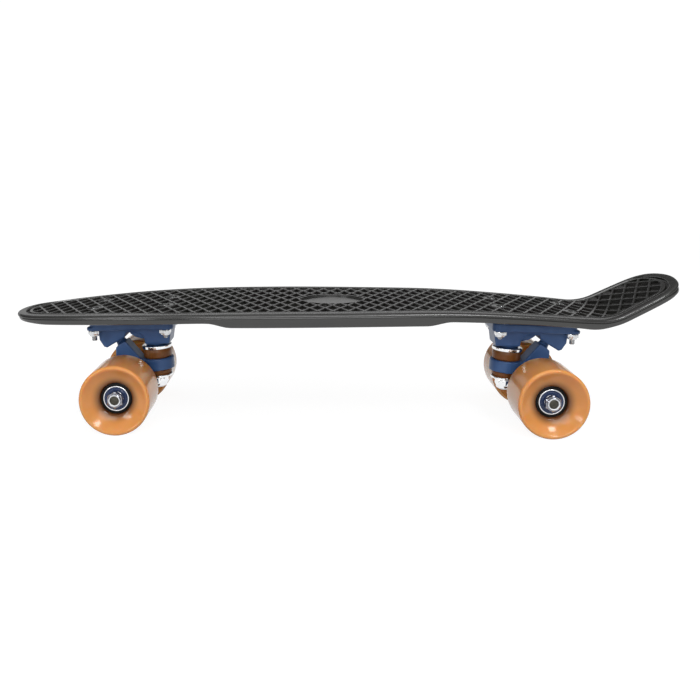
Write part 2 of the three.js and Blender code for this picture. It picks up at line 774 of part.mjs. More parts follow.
function stemForm() {
  // The stem from the hanger's middle up to the ball in the pivot's cup
  const ball = pivotBallDiameter / 2;
  const arc = [90, 60, 30, 0].map((angle) => THREE.MathUtils.degToRad(angle));
  return turned([
    ...arc.map((angle) => [ball * Math.cos(angle), ball * Math.sin(angle)]),
    [neckDiameter / 2, -ball * neckShare], [neckDiameter / 2, -neckLength], [stemDiameter / 2, -flareLength],
    [stemDiameter / 2, -stemLength], [0, -stemLength],
  ]).applyMatrix4(pivotFrame);
}

function boltGeometry(top) {
  // A countersunk screw hanging from its head's flat top
  const shank = boltDiameter / 2;
  const foot = top - boltLength;
  return turned([
    [0, foot], [shank, foot], [shank, top - boltHeadHeight], [boltHeadDiameter / 2, top], [0, top],
  ], boltFacets);
}

function placedOn(frame, geometry, along, flip = false) {
  // Moves a turned piece along a frame's Z, turned over where it faces down
  if (flip) geometry.rotateX(Math.PI);
  return geometry.translate(0, 0, along).applyMatrix4(frame);
}

function truckPieces(truck) {
  const group = truckGroup(truck);
  const add = (name, geometry, material) => group.add(piece(`${truck.end}_${name}`, geometry, material));
  const onKingpin = (...rest) => placedOn(kingpinFrame, ...rest);
  const upperCup = cupWasherGeometry(upperBushingDiameter, upperCupLip);
  const lowerCup = cupWasherGeometry(lowerBushingDiameter, lowerCupLip);
  const upperBushing = bushingGeometry(upperBushingDiameter, upperBushingHeight);
  const lowerBushing = bushingGeometry(lowerBushingDiameter, lowerBushingHeight);
  const kingpinNut = lockNut(kingpinNutAcross, kingpinBore, kingpinNutHeight);
  add('baseplate', baseplateGeometry(), bluePaint);
  add('pivot_cup', pivotCupGeometry().applyMatrix4(pivotFrame), blackUrethane);
  add('kingpin', kingpinGeometry().applyMatrix4(kingpinFrame), steel);
  add('upper_cup_washer', onKingpin(upperCup, upperBushingTop + fit), chrome);
  add('upper_bushing', onKingpin(upperBushing, ringSeat + fit), brownUrethane);
  add('lower_bushing', onKingpin(lowerBushing, -ringSeat - fit, true), brownUrethane);
  add('lower_cup_washer', onKingpin(lowerCup, lowerBushingBottom - fit, true), chrome);
  add('kingpin_nut', onKingpin(kingpinNut, kingpinNutTop, true), chrome);
  add('hanger', hangerGeometry(), bluePaint);
  boltPlaces.forEach((place, i) => {
    const nut = lockNut(boltNutAcross, boltDiameter + 2 * fit, boltNutHeight).rotateX(Math.PI);
    const [number, { u, v }] = [i + 1, place];
    add(`mount_bolt_${number}`, boltGeometry(boltTop(truck, place)).translate(u, v, 0), darkSteel);
    add(`mount_nut_${number}`, nut.translate(u, v, plateUnderside - fit), steel);
  });
  return group;
}

// Axle pieces, turned about Z with z = 0 on the board's middle plane and the wheel's outer face up

const innerBearingFace = bearingOuterFace - 2 * bearingWidth - bearingGap;
const spigotFace = innerBearingFace - fit;

function wheelGeometry() {
  const middle = wheelOuterFace - wheelWidth / 2;
  const past = ([r, a]) => [r, middle + a];
  const seat = bearingDiameter / 2 + fit;
  const spacer = bearingDiameter / 2 - spacerWall;
  const tread = wheelDiameter / 2 / Math.cos(Math.PI / wheelFacets);
  const innerStep = innerBearingFace + bearingWidth + fit;
  const outerStep = bearingOuterFace - bearingWidth - fit;
  return turned([
    [spacer, innerStep], [spacer, outerStep], [seat, outerStep], [seat, bearingOuterFace + fit],
    ...outerFaceProfile.map(past), past([tread, treadEdge]), past([tread, -treadEdge]),
    ...innerFaceProfile.map(past), [seat, innerBearingFace - fit], [seat, innerStep],
  ], wheelFacets);
}

function bearingGeometry(face, outward, shielded) {
  // A ball bearing from the given face inwards. An outer one shows a recessed shield
  const step = (depth) => face - outward * depth;
  const [bore, rim] = [axleDiameter / 2 + fit, bearingDiameter / 2];
  const shield = [
    [shieldOuter, step(0)], [shieldOuter, step(shieldRecess)], [shieldInner, step(shieldRecess)],
    [shieldInner, step(0)],
  ];
  return turned([
    [bore, step(bearingWidth)], [rim, step(bearingWidth)], [rim, step(0)], ...(shielded ? shield : []),
    [bore, step(0)],
  ]);
}

function axlePieces({ end, side }) {
  const group = new THREE.Group();
  group.position.set(side * wheelbase / 2, 0, axleHeight);
  const axle = rod(axleDiameter, -axleLength / 2, axleLength / 2).rotateX(Math.PI / 2);
  group.add(piece(`${end}_axle`, axle, steel));
  const washerFace = bearingOuterFace + fit;
  const nutFace = washerFace + washerThickness + fit;
  const bore = axleDiameter + 2 * fit;
  for (const [hand, turn] of [['left', Math.PI / 2], ['right', -Math.PI / 2]]) {
    const add = (name, geometry, material) => {
      group.add(piece(`${end}_${hand}_${name}`, geometry.rotateX(turn), material));
    };
    add('wheel', wheelGeometry(), urethane);
    add('inner_bearing', bearingGeometry(innerBearingFace, -1, false), steel);
    add('outer_bearing', bearingGeometry(bearingOuterFace, 1, true), steel);
    add('speed_washer', tube(washerDiameter, bore, washerFace, washerFace + washerThickness), steel);
    add('axle_nut', lockNut(axleNutAcross, bore, axleNutHeight).translate(0, 0, nutFace), darkSteel);
  }
  return group;
}

const board = new THREE.Group();
board.add(piece('deck', deckGeometry(), plastic));
for (const truck of trucks) board.add(truckPieces(truck), axlePieces(truck));

// The frame's origin lies under the middle of the whole length
board.updateMatrixWorld(true);
const box = new THREE.Box3().setFromObject(board, true);
board.position.x = -(box.min.x + box.max.x) / 2;

export default board;
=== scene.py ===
"""Looks for the cruiser skateboard: moulded deck, cast trucks, bushings, fasteners, bearings and wheels."""

from bisect import bisect_right
from math import asin, atan2, copysign, cos, exp, hypot, pi, radians, sin, sqrt, tan

import bmesh
import bpy
from mathutils import Matrix, Vector


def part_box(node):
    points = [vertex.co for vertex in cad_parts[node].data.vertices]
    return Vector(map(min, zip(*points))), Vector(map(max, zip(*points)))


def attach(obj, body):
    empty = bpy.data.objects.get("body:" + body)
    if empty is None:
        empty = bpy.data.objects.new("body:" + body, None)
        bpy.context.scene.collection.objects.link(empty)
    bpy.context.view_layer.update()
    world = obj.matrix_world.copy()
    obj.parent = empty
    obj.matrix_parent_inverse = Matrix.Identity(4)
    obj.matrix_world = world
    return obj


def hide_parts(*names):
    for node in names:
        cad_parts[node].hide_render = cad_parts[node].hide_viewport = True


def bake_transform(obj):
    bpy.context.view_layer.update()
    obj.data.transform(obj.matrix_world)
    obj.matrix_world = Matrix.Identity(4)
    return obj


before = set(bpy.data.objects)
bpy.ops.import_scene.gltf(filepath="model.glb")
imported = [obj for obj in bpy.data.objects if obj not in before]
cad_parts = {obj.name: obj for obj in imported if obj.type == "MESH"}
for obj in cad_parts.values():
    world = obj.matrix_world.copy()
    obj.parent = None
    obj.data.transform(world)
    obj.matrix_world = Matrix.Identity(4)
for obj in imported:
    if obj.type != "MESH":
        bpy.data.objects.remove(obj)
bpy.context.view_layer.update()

# Sizes are in millimetres, as the maker's drawings would give them
MM = 0.001
FIT = 0.3

# The board's own frame has x = 0 midway between the axles
axle_x = {end: sum(corner[0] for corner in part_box(f"{end}_axle")) / 2 / MM for end in ("front", "rear")}
BOARD_SHIFT = (axle_x["front"] + axle_x["rear"]) / 2
WHEELBASE = axle_x["rear"] - axle_x["front"]
AXLE_HEIGHT = 30
TRUCK_TILT = radians(1.5)

CHASSIS = "chassis"
ENDS = {"front": -1, "rear": 1}
HANDS = {"left": -1, "right": 1}


# Materials

# The mix node's sockets by number, because its sockets for values and for colours share their names
MIX_SHARE = 0
MIX_VALUE_A, MIX_VALUE_B, MIX_VALUE = 2, 3, 0
MIX_COLOUR_A, MIX_COLOUR_B, MIX_COLOUR = 6, 7, 2


def feed(tree, socket, value):
    """Sets a socket to a value, or links it to another node's output."""
    if isinstance(value, bpy.types.NodeSocket):
        tree.links.new(value, socket)
    else:
        socket.default_value = value


def node(tree, kind, **sockets):
    """Adds a shader node, feeds its sockets by name and gives the node."""
    made = tree.nodes.new(f"ShaderNode{kind}")
    for name, value in sockets.items():
        feed(tree, made.inputs[name.replace("_", " ")], value)
    return made


def object_noise(tree, scale, detail):
    """Noise in the object's own coordinates, in metres times scale."""
    place = node(tree, "TexCoord").outputs["Object"]
    return node(tree, "TexNoise", Vector=place, Scale=scale, Detail=detail).outputs["Fac"]


def spread(tree, source, low, high, start=0.3, stop=0.7):
    """Maps a value between start and stop to a number between low and high."""
    ramp = node(tree, "MapRange", Value=source, From_Min=start, From_Max=stop, To_Min=low, To_Max=high)
    return ramp.outputs["Result"]


def tinted(tree, share, dark, light):
    """Mixes two colours by a value."""
    mix = node(tree, "Mix")
    mix.data_type = "RGBA"
    for socket, value in ((MIX_SHARE, share), (MIX_COLOUR_A, dark), (MIX_COLOUR_B, light)):
        feed(tree, mix.inputs[socket], value)
    return mix.outputs[MIX_COLOUR]


def finish(name, dark, light, rough, patch, grain=1500, relief=0.01, specular=0.5, **constants):
    """A finish with soft colour patches, uneven gloss and a fine grain."""
    made = bpy.data.materials.new(name)
    made.use_nodes = True
    tree = made.node_tree
    blend = spread(tree, object_noise(tree, patch, 4), 0, 1)
    fine = object_noise(tree, grain, 3)
    looks = {
        **constants,
        "Specular IOR Level": specular,
        "Base Color": tinted(tree, blend, (*dark, 1), (*light, 1)),
        "Roughness": spread(tree, fine, *rough),
        "Normal": node(tree, "Bump", Height=fine, Distance=relief * MM).outputs["Normal"],
    }
    for socket, value in looks.items():
        feed(tree, tree.nodes["Principled BSDF"].inputs[socket.replace("_", " ")], value)
    return made


def urethane_with_painted_core_shade():
    """Clouded translucent urethane with painted shade: its colour darkens to brown towards the wheel's core.
    """
    made = finish(
        "wheel_caramel_urethane", (0.65, 0.272, 0.068), (0.71, 0.308, 0.088), (0.12, 0.19),
        patch=45, relief=0.004, specular=0.42, Subsurface_Weight=0.6, Subsurface_Scale=0.009,
        Subsurface_Radius=(1.0, 0.45, 0.15),
    )
    tree = made.node_tree
    colour = tree.nodes["Principled BSDF"].inputs["Base Color"]
    near = node(tree, "Attribute")
    near.attribute_name = "painted_core_shade"
    share = spread(tree, near.outputs["Fac"], 0, 1, 0.0, 1.0)
    # Painted shade: the base colour is mixed towards dark brown near the core, by the shade value kept on
    # the tyre's points
    feed(tree, colour, tinted(tree, share, colour.links[0].from_socket, (0.070, 0.022, 0.008, 1)))
    return made


deck_plastic = finish(
    "deck_moulded_plastic", (0.007, 0.007, 0.006), (0.012, 0.012, 0.010), (0.17, 0.25),
    patch=35, grain=2600, relief=0.012, specular=0.85,
)
truck_paint = finish(
    "truck_navy_paint", (0.036, 0.085, 0.215), (0.048, 0.110, 0.265), (0.28, 0.40),
    patch=90, grain=700, relief=0.02, specular=0.3,
)
wheel_urethane = urethane_with_painted_core_shade()
# Painted shade: the core sleeve is near black so that it stands in for the dark, shaded gap round each
# bearing
core_painted_shade_black = finish(
    "wheel_core_painted_shade_black", (0.002, 0.002, 0.002), (0.004, 0.003, 0.003), (0.30, 0.42), patch=200, specular=0.15,
)
bushing_urethane = finish(
    "bushing_brown_urethane", (0.15, 0.050, 0.009), (0.20, 0.068, 0.012), (0.34, 0.46),
    patch=120, relief=0.008, specular=0.3, Subsurface_Weight=0.2, Subsurface_Scale=0.003,
)
black_urethane = finish(
    "pivot_black_urethane", (0.012, 0.012, 0.012), (0.02, 0.02, 0.02), (0.45, 0.6), patch=200,
)
polished_chrome = finish(
    "polished_chrome", (0.78, 0.79, 0.80), (0.86, 0.87, 0.88), (0.05, 0.11), Metallic=1.0,
    patch=150, grain=500, relief=0.002,
)
zinc_steel = finish(
    "zinc_plated_steel", (0.58, 0.59, 0.60), (0.70, 0.71, 0.72), (0.18, 0.30), Metallic=1.0,
    patch=300, grain=1200, relief=0.006,
)
axle_steel = finish(
    "axle_oiled_steel", (0.050, 0.048, 0.038), (0.085, 0.082, 0.068), (0.26, 0.40), Metallic=1.0,
    patch=400, grain=1200, relief=0.008,
)
nut_steel = finish(
    "axle_nut_blued_steel", (0.26, 0.27, 0.31), (0.38, 0.39, 0.43), (0.12, 0.20), Metallic=1.0,
    patch=400, grain=1200, relief=0.006,
)
race_steel = finish(
    "bearing_race_steel", (0.70, 0.71, 0.73), (0.80, 0.81, 0.83), (0.10, 0.2), Metallic=1.0,
    patch=200, grain=900, relief=0.003,
)
shield_blue = finish(
    "bearing_navy_shield", (0.008, 0.020, 0.065), (0.014, 0.032, 0.095), (0.22, 0.34), patch=300,
)
nylon_dark = finish("nut_dark_nylon_ring", (0.03, 0.03, 0.035), (0.05, 0.05, 0.055), (0.35, 0.5), patch=300)
nylon_white = finish("nut_nylon_ring", (0.80, 0.81, 0.83), (0.88, 0.89, 0.90), (0.35, 0.5), patch=300)


# Mesh helpers


def closed_out(bm, weld=0.002):
    """Welds doubles and points the faces outwards."""
    bmesh.ops.remove_doubles(bm, verts=bm.verts, dist=weld)
    bmesh.ops.recalc_face_normals(bm, faces=bm.faces)
    return bm


def creased(bm, angle):
    """Smooth faces with sharp edges where the surface turns by more than the angle in degrees."""
    limit = radians(angle)
    for face in bm.faces:
        face.smooth = True
    for edge in bm.edges:
        if len(edge.link_faces) == 2:
            edge.smooth = edge.calc_face_angle(0) < limit


def to_object(name, bm, matrix=None, angle=34):
    """Makes an object at the origin from a mesh in millimetres, which is put at its place in metres."""
    bm.transform(Matrix.Scale(MM, 4) @ (matrix or Matrix.Identity(4)))
    if matrix is not None and matrix.determinant() < 0:
        bmesh.ops.reverse_faces(bm, faces=bm.faces)
    creased(bm, angle)
    mesh = bpy.data.meshes.new(name)
    bm.to_mesh(mesh)
    bm.free()
    made = bpy.data.objects.new(name, mesh)
    bpy.context.scene.collection.objects.link(made)
    return made


def add_piece(name, bm, place, look, body, stands_for=(), angle=34):
    """Adds a piece with its material, slot and body, and the solids that it stands for."""
    made = to_object(name, bm, place, angle)
    made.data.materials.append(look)
    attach(made, body)
    if stands_for:
        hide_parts(*stands_for)


def evaluated(made):
    """The object's mesh with its modifiers applied, as a bmesh in metres."""
    bpy.context.view_layer.update()
    baked = made.evaluated_get(bpy.context.evaluated_depsgraph_get())
    bm = bmesh.new()
    bm.from_mesh(baked.to_mesh())
    baked.to_mesh_clear()
    return bm


def discard(made):
    mesh = made.data
    bpy.data.objects.remove(made)
    bpy.data.meshes.remove(mesh)


def taken_back(made):
    """The object's mesh in millimetres. The object itself goes."""
    bm = evaluated(made)
    bm.transform(Matrix.Scale(1 / MM, 4))
    discard(made)
    return bm


def bake(made):
    """Applies the object's modifiers to its mesh."""
    bm = evaluated(made)
    made.modifiers.clear()
    bm.to_mesh(made.data)
    bm.free()


def combined(base, tool, operation):
    """Cuts or joins one object by another and keeps the result in the first."""
    step = base.modifiers.new(operation.lower(), "BOOLEAN")
    step.operation = operation
    step.solver = "EXACT"
    step.object = tool
    bake(base)
    discard(tool)


def joined(parts):
    """Several closed meshes side by side in one."""
    bm = bmesh.new()
    for part in parts:
        loose = bpy.data.meshes.new("loose")
        part.to_mesh(loose)
        part.free()
        bm.from_mesh(loose)
        bpy.data.meshes.remove(loose)
    return bm


def shift(x, y, z):
    return Matrix.Translation((x, y, z))


def turn(axis, angle):
    return Matrix.Rotation(angle, 4, axis)


def moved(bm, matrix):
    bm.transform(matrix)
    return bm


def circle(segments, cap_ends=True, radius=1):
    """A mesh with a flat circle of the radius, and the circle's points."""
    bm = bmesh.new()
    return bm, bmesh.ops.create_circle(bm, cap_ends=cap_ends, segments=segments, radius=radius)["verts"]


def grown_ring(bm, edges):
    """Extrudes a ring of edges and gives the points and edges of the new ring."""
    grown = bmesh.ops.extrude_edge_only(bm, edges=edges)["geom"]
    verts = [g for g in grown if isinstance(g, bmesh.types.BMVert)]
    return verts, [g for g in grown if isinstance(g, bmesh.types.BMEdge)]


def sliced(bm, point, normal):
    """Cuts edges and faces at a plane and keeps both sides."""
    bmesh.ops.bisect_plane(bm, geom=bm.verts[:] + bm.edges[:] + bm.faces[:], plane_co=point, plane_no=normal)


def thickened(bm, offset):
    """Extrudes a flat face by the offset into a closed prism."""
    grown = bmesh.ops.extrude_face_region(bm, geom=list(bm.faces))["geom"]
    verts = [g for g in grown if isinstance(g, bmesh.types.BMVert)]
    bmesh.ops.translate(bm, verts=verts, vec=offset)
    return closed_out(bm)


def turned(rings, segments=48):
    """A stack of rings of (radius, height) about Z. A radius may be a function of the angle."""
    bm = bmesh.new()
    angle_of = bm.verts.layers.float.new("angle")
    verts = bmesh.ops.create_circle(bm, segments=segments, radius=1)["verts"]
    for v in verts:
        v[angle_of] = atan2(v.co.y, v.co.x)

    def place(some, ring):
        radius, height = ring
        for v in some:
            r = radius(v[angle_of]) if callable(radius) else radius
            v.co = (r * cos(v[angle_of]), r * sin(v[angle_of]), height)

    place(verts, rings[0])
    first_edges = edges = list(bm.edges)
    for ring in rings[1:]:
        verts, edges = grown_ring(bm, edges)
        place(verts, ring)
    if rings[0] != rings[-1]:
        bmesh.ops.holes_fill(bm, edges=first_edges + edges, sides=0)
    return closed_out(bm)


def rod(radius, low, high, place, segments=48):
    """A round bar between two heights on the Z axis of a frame."""
    return moved(turned([(radius, low), (radius, high)], segments), place)


def column(radius, low, high, x, y):
    return rod(radius, low, high, shift(x, y, 0), 32)


def dome(radius):
    """Rings of a half ball from its top down to z = 0. The top is left a hair open and is closed across."""
    steps = 6
    angles = [pi / 2 * k / steps for k in range(steps - 1, -1, -1)]
    return [(0.01, radius)] + [(radius * cos(a), radius * sin(a)) for a in angles]


def rounded(points, steps=3):
    """A profile of (radius, height, fillet) with its corners rounded. It closes on its first point."""
    out = []
    count = len(points)
    for i, point in enumerate(points):
        corner = Vector(point[:2])
        fillet = point[2] if len(point) > 2 else 0
        if fillet == 0:
            out.append(tuple(corner))
            continue
        before = (Vector(points[i - 1][:2]) - corner).normalized()
        after = (Vector(points[(i + 1) % count][:2]) - corner).normalized()
        half = before.angle(after) / 2
        reach = fillet / tan(half)
        centre = corner + (before + after).normalized() * fillet / sin(half)
        start = corner + before * reach - centre
        end = corner + after * reach - centre
        for k in range(steps + 1):
            swung = start.lerp(end, k / steps).normalized() * fillet
            out.append(tuple(centre + swung))
    return out + [out[0]]


def hexagon(across, limit=1e9):
    """The radius of a hexagon by angle, turned down to a limit where its corners are chamfered."""
    sector = pi / 3

    def radius(angle):
        off = (angle + sector / 2) % sector - sector / 2
        return min(across / 2 / cos(off), limit)

    return radius


def threaded(radius, start, stop, pitch, depth=0.35):
    """Rings of a cut thread between two heights."""
    turns = max(1, round(abs(stop - start) / pitch))
    step = (stop - start) / turns
    rings = []
    for i in range(turns):
        rings += [(radius, start + step * i), (radius - depth, start + step * (i + 0.5))]
    return rings + [(radius, stop)]


# Camera at the photograph's angle


def add_camera():
    focal_px, frame_px, sensor = 839.2, 700, 36
    axis_px = (297.26, 260.56)
    place = Vector((-18.91 + BOARD_SHIFT, -753.3, 234.45)) * MM
    yaw, pitch, roll = radians(-0.97), radians(7.07), radians(0.19)
    ahead = Vector((sin(yaw) * cos(pitch), cos(yaw) * cos(pitch), -sin(pitch)))
    right = Vector((cos(yaw), -sin(yaw), 0))
    up = right.cross(ahead)
    right_rolled = right * cos(roll) + up * sin(roll)
    up_rolled = up * cos(roll) - right * sin(roll)
    facing = Matrix((right_rolled, up_rolled, -ahead)).transposed().to_4x4()
    data = bpy.data.cameras.new("camera")
    data.sensor_width = sensor
    data.lens = focal_px / frame_px * sensor
    data.shift_x = (frame_px / 2 - axis_px[0]) / frame_px
    data.shift_y = (axis_px[1] - frame_px / 2) / frame_px
    camera = bpy.data.objects.new("camera", data)
    camera.matrix_world = Matrix.Translation(place) @ facing
    bpy.context.scene.collection.objects.link(camera)
    bpy.context.scene.camera = camera


add_camera()


# Deck: the bent spine and the outline, as in the solids

DECK_TOP = 105.9
NOSE_DROP = 10.8
KICK_DROP = 8.5
KICK_BEND = 13
KICK_LENGTH = 73.5
KICK_ANGLE = radians(26.5)
HALF_WIDTH = 77.5
NOSE_END = -(WHEELBASE / 2 + 100.6)
KICK_START = WHEELBASE / 2 + 53.5
TAIL_REACH = KICK_START + KICK_LENGTH
SPINE_STEPS = 40
OUTLINE_STEP = 3.6

# Camber as (share of the reach, share of the drop), outline as (share of the reach, share of the half width)
NOSE_CAMBER = (
    (1, 1), (0.93, 0.935), (0.842, 0.76), (0.736, 0.563), (0.61, 0.365), (0.45, 0.195), (0.25, 0.075),
    (0.08, 0.022),
)
KICK_CAMBER = ((0.21, -0.02), (0.36, -0.022), (0.46, 0.035), (0.56, 0.15), (0.71, 0.4), (0.863, 0.715))
NOSE_OUTLINE = (
    (1, 0), (0.9975, 0.12), (0.9895, 0.232), (0.9754, 0.342), (0.955, 0.43), (0.909, 0.538), (0.87, 0.605),
    (0.782, 0.725), (0.663, 0.848), (0.527, 0.9445), (0.387, 0.994), (0.25, 1), (0.12, 0.997), (0, 0.979),
)
TAIL_OUTLINE = (
    (0.161, 0.933), (0.3, 0.885), (0.45, 0.832), (0.58, 0.786), (0.665, 0.75), (0.715, 0.708),
    (0.759, 0.671), (0.8, 0.645), (0.86, 0.625), (0.905, 0.604), (0.94, 0.565), (0.9695, 0.467),
    (0.985, 0.35), (0.994, 0.22), (0.9985, 0.11), (1, 0),
)

# The deck's section from its edge inwards. Depths count down from the rim's top
RIM_WIDTH = 7.4
RIM_ROUND = 1.8
RIM_SLOPE = 0.6
FIELD_RISE = 0.45
BORDER_RIB = 2.5
LIP_DEPTH = 2.4
LIP_STEP = 1.0
GROOVE_WIDTH = 3.2
GROOVE_DEPTH = 2.4
WEB = 5.0
WEB_REVEAL = 0.6
SKIRT_WALL = 3.6
SKIRT_DEPTH = 7.7
NOSE_SKIRT_DEPTH = 5.3
BELLY_DEPTH = 11.2
KICK_SKIRT_DEPTH = 6.9
SKIRT_SWELLS = ((-112, 30, -0.7), (KICK_START - 16.5, 11, 1.0))
CELL_LENGTH = 13.1
CELL_WIDTH = 26.0
CELL_DEPTH = 2.3
RIB_WIDTH = 2.2
PAD_LENGTH = 58.0
PAD_WIDTH = 47.0
PAD_FRAME = 1.6
PAD_SINK = 0.8
PAD_DISH = 0.4


def uniform_spline(points, steps):
    """A smooth curve through points, evenly parametrised between each two."""
    last = len(points) - 1
    out = []
    for i in range(last):
        p0, p1, p2, p3 = (points[max(0, min(last, i + k))] for k in (-1, 0, 1, 2))
        for k in range(steps):
            t = k / steps
            v0, v1 = (p2 - p0) / 2, (p3 - p1) / 2
            bend = (2 * p1 - 2 * p2 + v0 + v1) * t ** 3 + (3 * p2 - 3 * p1 - 2 * v0 - v1) * t ** 2
            out.append(bend + v0 * t + p1)
    return out + [points[-1]]


def spine_points():
    """The camber from nose to kick, the rounded bend and the straight kick, as (along, up)."""
    stations = [Vector((NOSE_END * x, DECK_TOP - NOSE_DROP * drop)) for x, drop in NOSE_CAMBER]
    stations += [Vector((KICK_START * x, DECK_TOP - KICK_DROP * drop)) for x, drop in KICK_CAMBER]
    corner = Vector((KICK_START, DECK_TOP - KICK_DROP))
    up_kick = Vector((cos(KICK_ANGLE), sin(KICK_ANGLE)))
    start = corner - (corner - stations[-1]).normalized() * KICK_BEND
    end = corner + up_kick * KICK_BEND
    curve = uniform_spline(stations + [start], SPINE_STEPS)
    for k in range(1, SPINE_STEPS):
        t = k / SPINE_STEPS
        curve.append(start * (1 - t) ** 2 + corner * 2 * t * (1 - t) + end * t ** 2)
    return curve + [end, corner + up_kick * KICK_LENGTH]


class Spine:
    """The deck's bent middle line by distance along it, zero near mid length."""

    def __init__(self):
        self.points = spine_points()
        self.lengths = [0.0]
        for a, b in zip(self.points, self.points[1:]):
            self.lengths.append(self.lengths[-1] + (b - a).length)
        self.front = self.lengths[-1] - TAIL_REACH

    def at(self, s):
        """The point and the direction along the spine at s."""
        target = s + self.front
        i = bisect_right(self.lengths, target, 1, len(self.lengths) - 1) - 1
        a, b = self.points[i], self.points[i + 1]
        span = (b - a).length
        return a + (b - a) * (target - self.lengths[i]) / span, (b - a) / span

    def smooth_at(self, s):
        """As at(), with the direction averaged over a short reach."""
        reach = 3.0
        point, _ = self.at(s)
        back, _ = self.at(s - reach)
        ahead, _ = self.at(s + reach)
        return point, (ahead - back).normalized()


spine = Spine()


def bent(co):
    """From the flat deck (along, across, up from the rim's top) to the board's frame."""
    point, along = spine.smooth_at(co.x)
    return Vector((point.x - along.y * co.z, co.y, point.y + along.x * co.z))


def height_at(x):
    """The rim top's height over the floor at a place along the board."""
    s = x
    for _ in range(6):
        s += x - spine.at(s)[0].x
    return spine.at(s)[0].y


def between(t, a, ta, b, tb):
    """The point at t on the line from a at ta to b at tb."""
    return a * (tb - t) / (tb - ta) + b * (t - ta) / (tb - ta)


def half_outline():
    """One side of the flat deck's edge from nose tip to tail tip, as smooth stations of (along, across)."""
    side = [Vector((-spine.front * s, w * HALF_WIDTH)) for s, w in NOSE_OUTLINE]
    side += [Vector((TAIL_REACH * s, w * HALF_WIDTH)) for s, w in TAIL_OUTLINE]
    whole = [Vector((side[1].x, -side[1].y))] + side + [Vector((side[-2].x, -side[-2].y))]
    out = []
    for i in range(1, len(whole) - 2):
        p0, p1, p2, p3 = whole[i - 1:i + 3]
        knots = [0.0]
        for a, b in ((p0, p1), (p1, p2), (p2, p3)):
            knots.append(knots[-1] + sqrt((b - a).length))
        t0, t1, t2, t3 = knots
        span = max(2, round((p2 - p1).length / OUTLINE_STEP))
        for k in range(span):
            t = t1 + (t2 - t1) * k / span
            a1 = between(t, p0, t0, p1, t1)
            a2 = between(t, p1, t1, p2, t2)
            a3 = between(t, p2, t2, p3, t3)
            b1 = between(t, a1, t0, a2, t2)
            b2 = between(t, a2, t1, a3, t3)
            out.append(between(t, b1, t1, b2, t2))
    out.append(side[-1])
    for point in out:
        point.y = min(point.y, HALF_WIDTH)
    return out


half = half_outline()
outline = half + [Vector((p.x, -p.y)) for p in half[-2:0:-1]]
OUTLINE_COUNT = len(outline)


def inset_at(i, inset):
    """A station of the outline moved inwards by the inset."""
    before, after = outline[i - 1], outline[(i + 1) % OUTLINE_COUNT]
    along = (after - before).normalized()
    point = outline[i]
    return Vector((point.x + along.y * inset, point.y - along.x * inset))


def eased(value, low, high):
    share = max(0.0, min(1.0, (value - low) / (high - low)))
    return share * share * (3 - 2 * share)


def skirt_at(s):
    """How far the skirt hangs at a place along the deck."""
    reach = spine.front
    nose = eased(s, -reach, -reach * 0.86)
    front = eased(s, -reach * 0.3695, -reach * 0.2995)
    back = 1 - eased(s, TAIL_REACH * 0.2506, TAIL_REACH * 0.3206)
    kick = eased(s, TAIL_REACH * 0.714, TAIL_REACH * 0.772)
    belly = (BELLY_DEPTH - SKIRT_DEPTH) * min(front, back)
    ends = (NOSE_SKIRT_DEPTH - SKIRT_DEPTH) * (1 - nose) + (KICK_SKIRT_DEPTH - SKIRT_DEPTH) * kick
    swell = sum(depth * exp(-((s - middle) / reach) ** 2) for middle, reach, depth in SKIRT_SWELLS)
    return SKIRT_DEPTH + belly + ends + swell


def web_at(s):
    """The web's underside, which stays above the skirt's lower edge."""
    return min(WEB, skirt_at(s) - WEB_REVEAL)


def ring_loft(rings):
    """A closed form through rings of (inset, depth or function), closed across by strips."""
    bm = bmesh.new()
    station = bm.verts.layers.int.new("station")
    verts = bmesh.ops.create_circle(bm, segments=OUTLINE_COUNT, radius=1)["verts"]
    bm.verts.ensure_lookup_table()
    for i, v in enumerate(verts):
        v[station] = i

    def place(some, ring):
        inset, depth = ring
        for v in some:
            spot = inset_at(v[station], inset)
            v.co = (spot.x, spot.y, -(depth(spot.x) if callable(depth) else depth))

    def strips(some):
        by_station = {v[station]: v for v in some}
        last = OUTLINE_COUNT // 2
        for i in range(last):
            corners = []
            for k in (i, i + 1, OUTLINE_COUNT - i - 1, OUTLINE_COUNT - i):
                v = by_station[k % OUTLINE_COUNT]
                if v not in corners:
                    corners.append(v)
            bmesh.ops.contextual_create(bm, geom=corners)

    place(verts, rings[0])
    first = list(verts)
    edges = list(bm.edges)
    for ring in rings[1:]:
        verts, edges = grown_ring(bm, edges)
        place(verts, ring)
    strips(first)
    strips(verts)
    return closed_out(bm, weld=0.001)


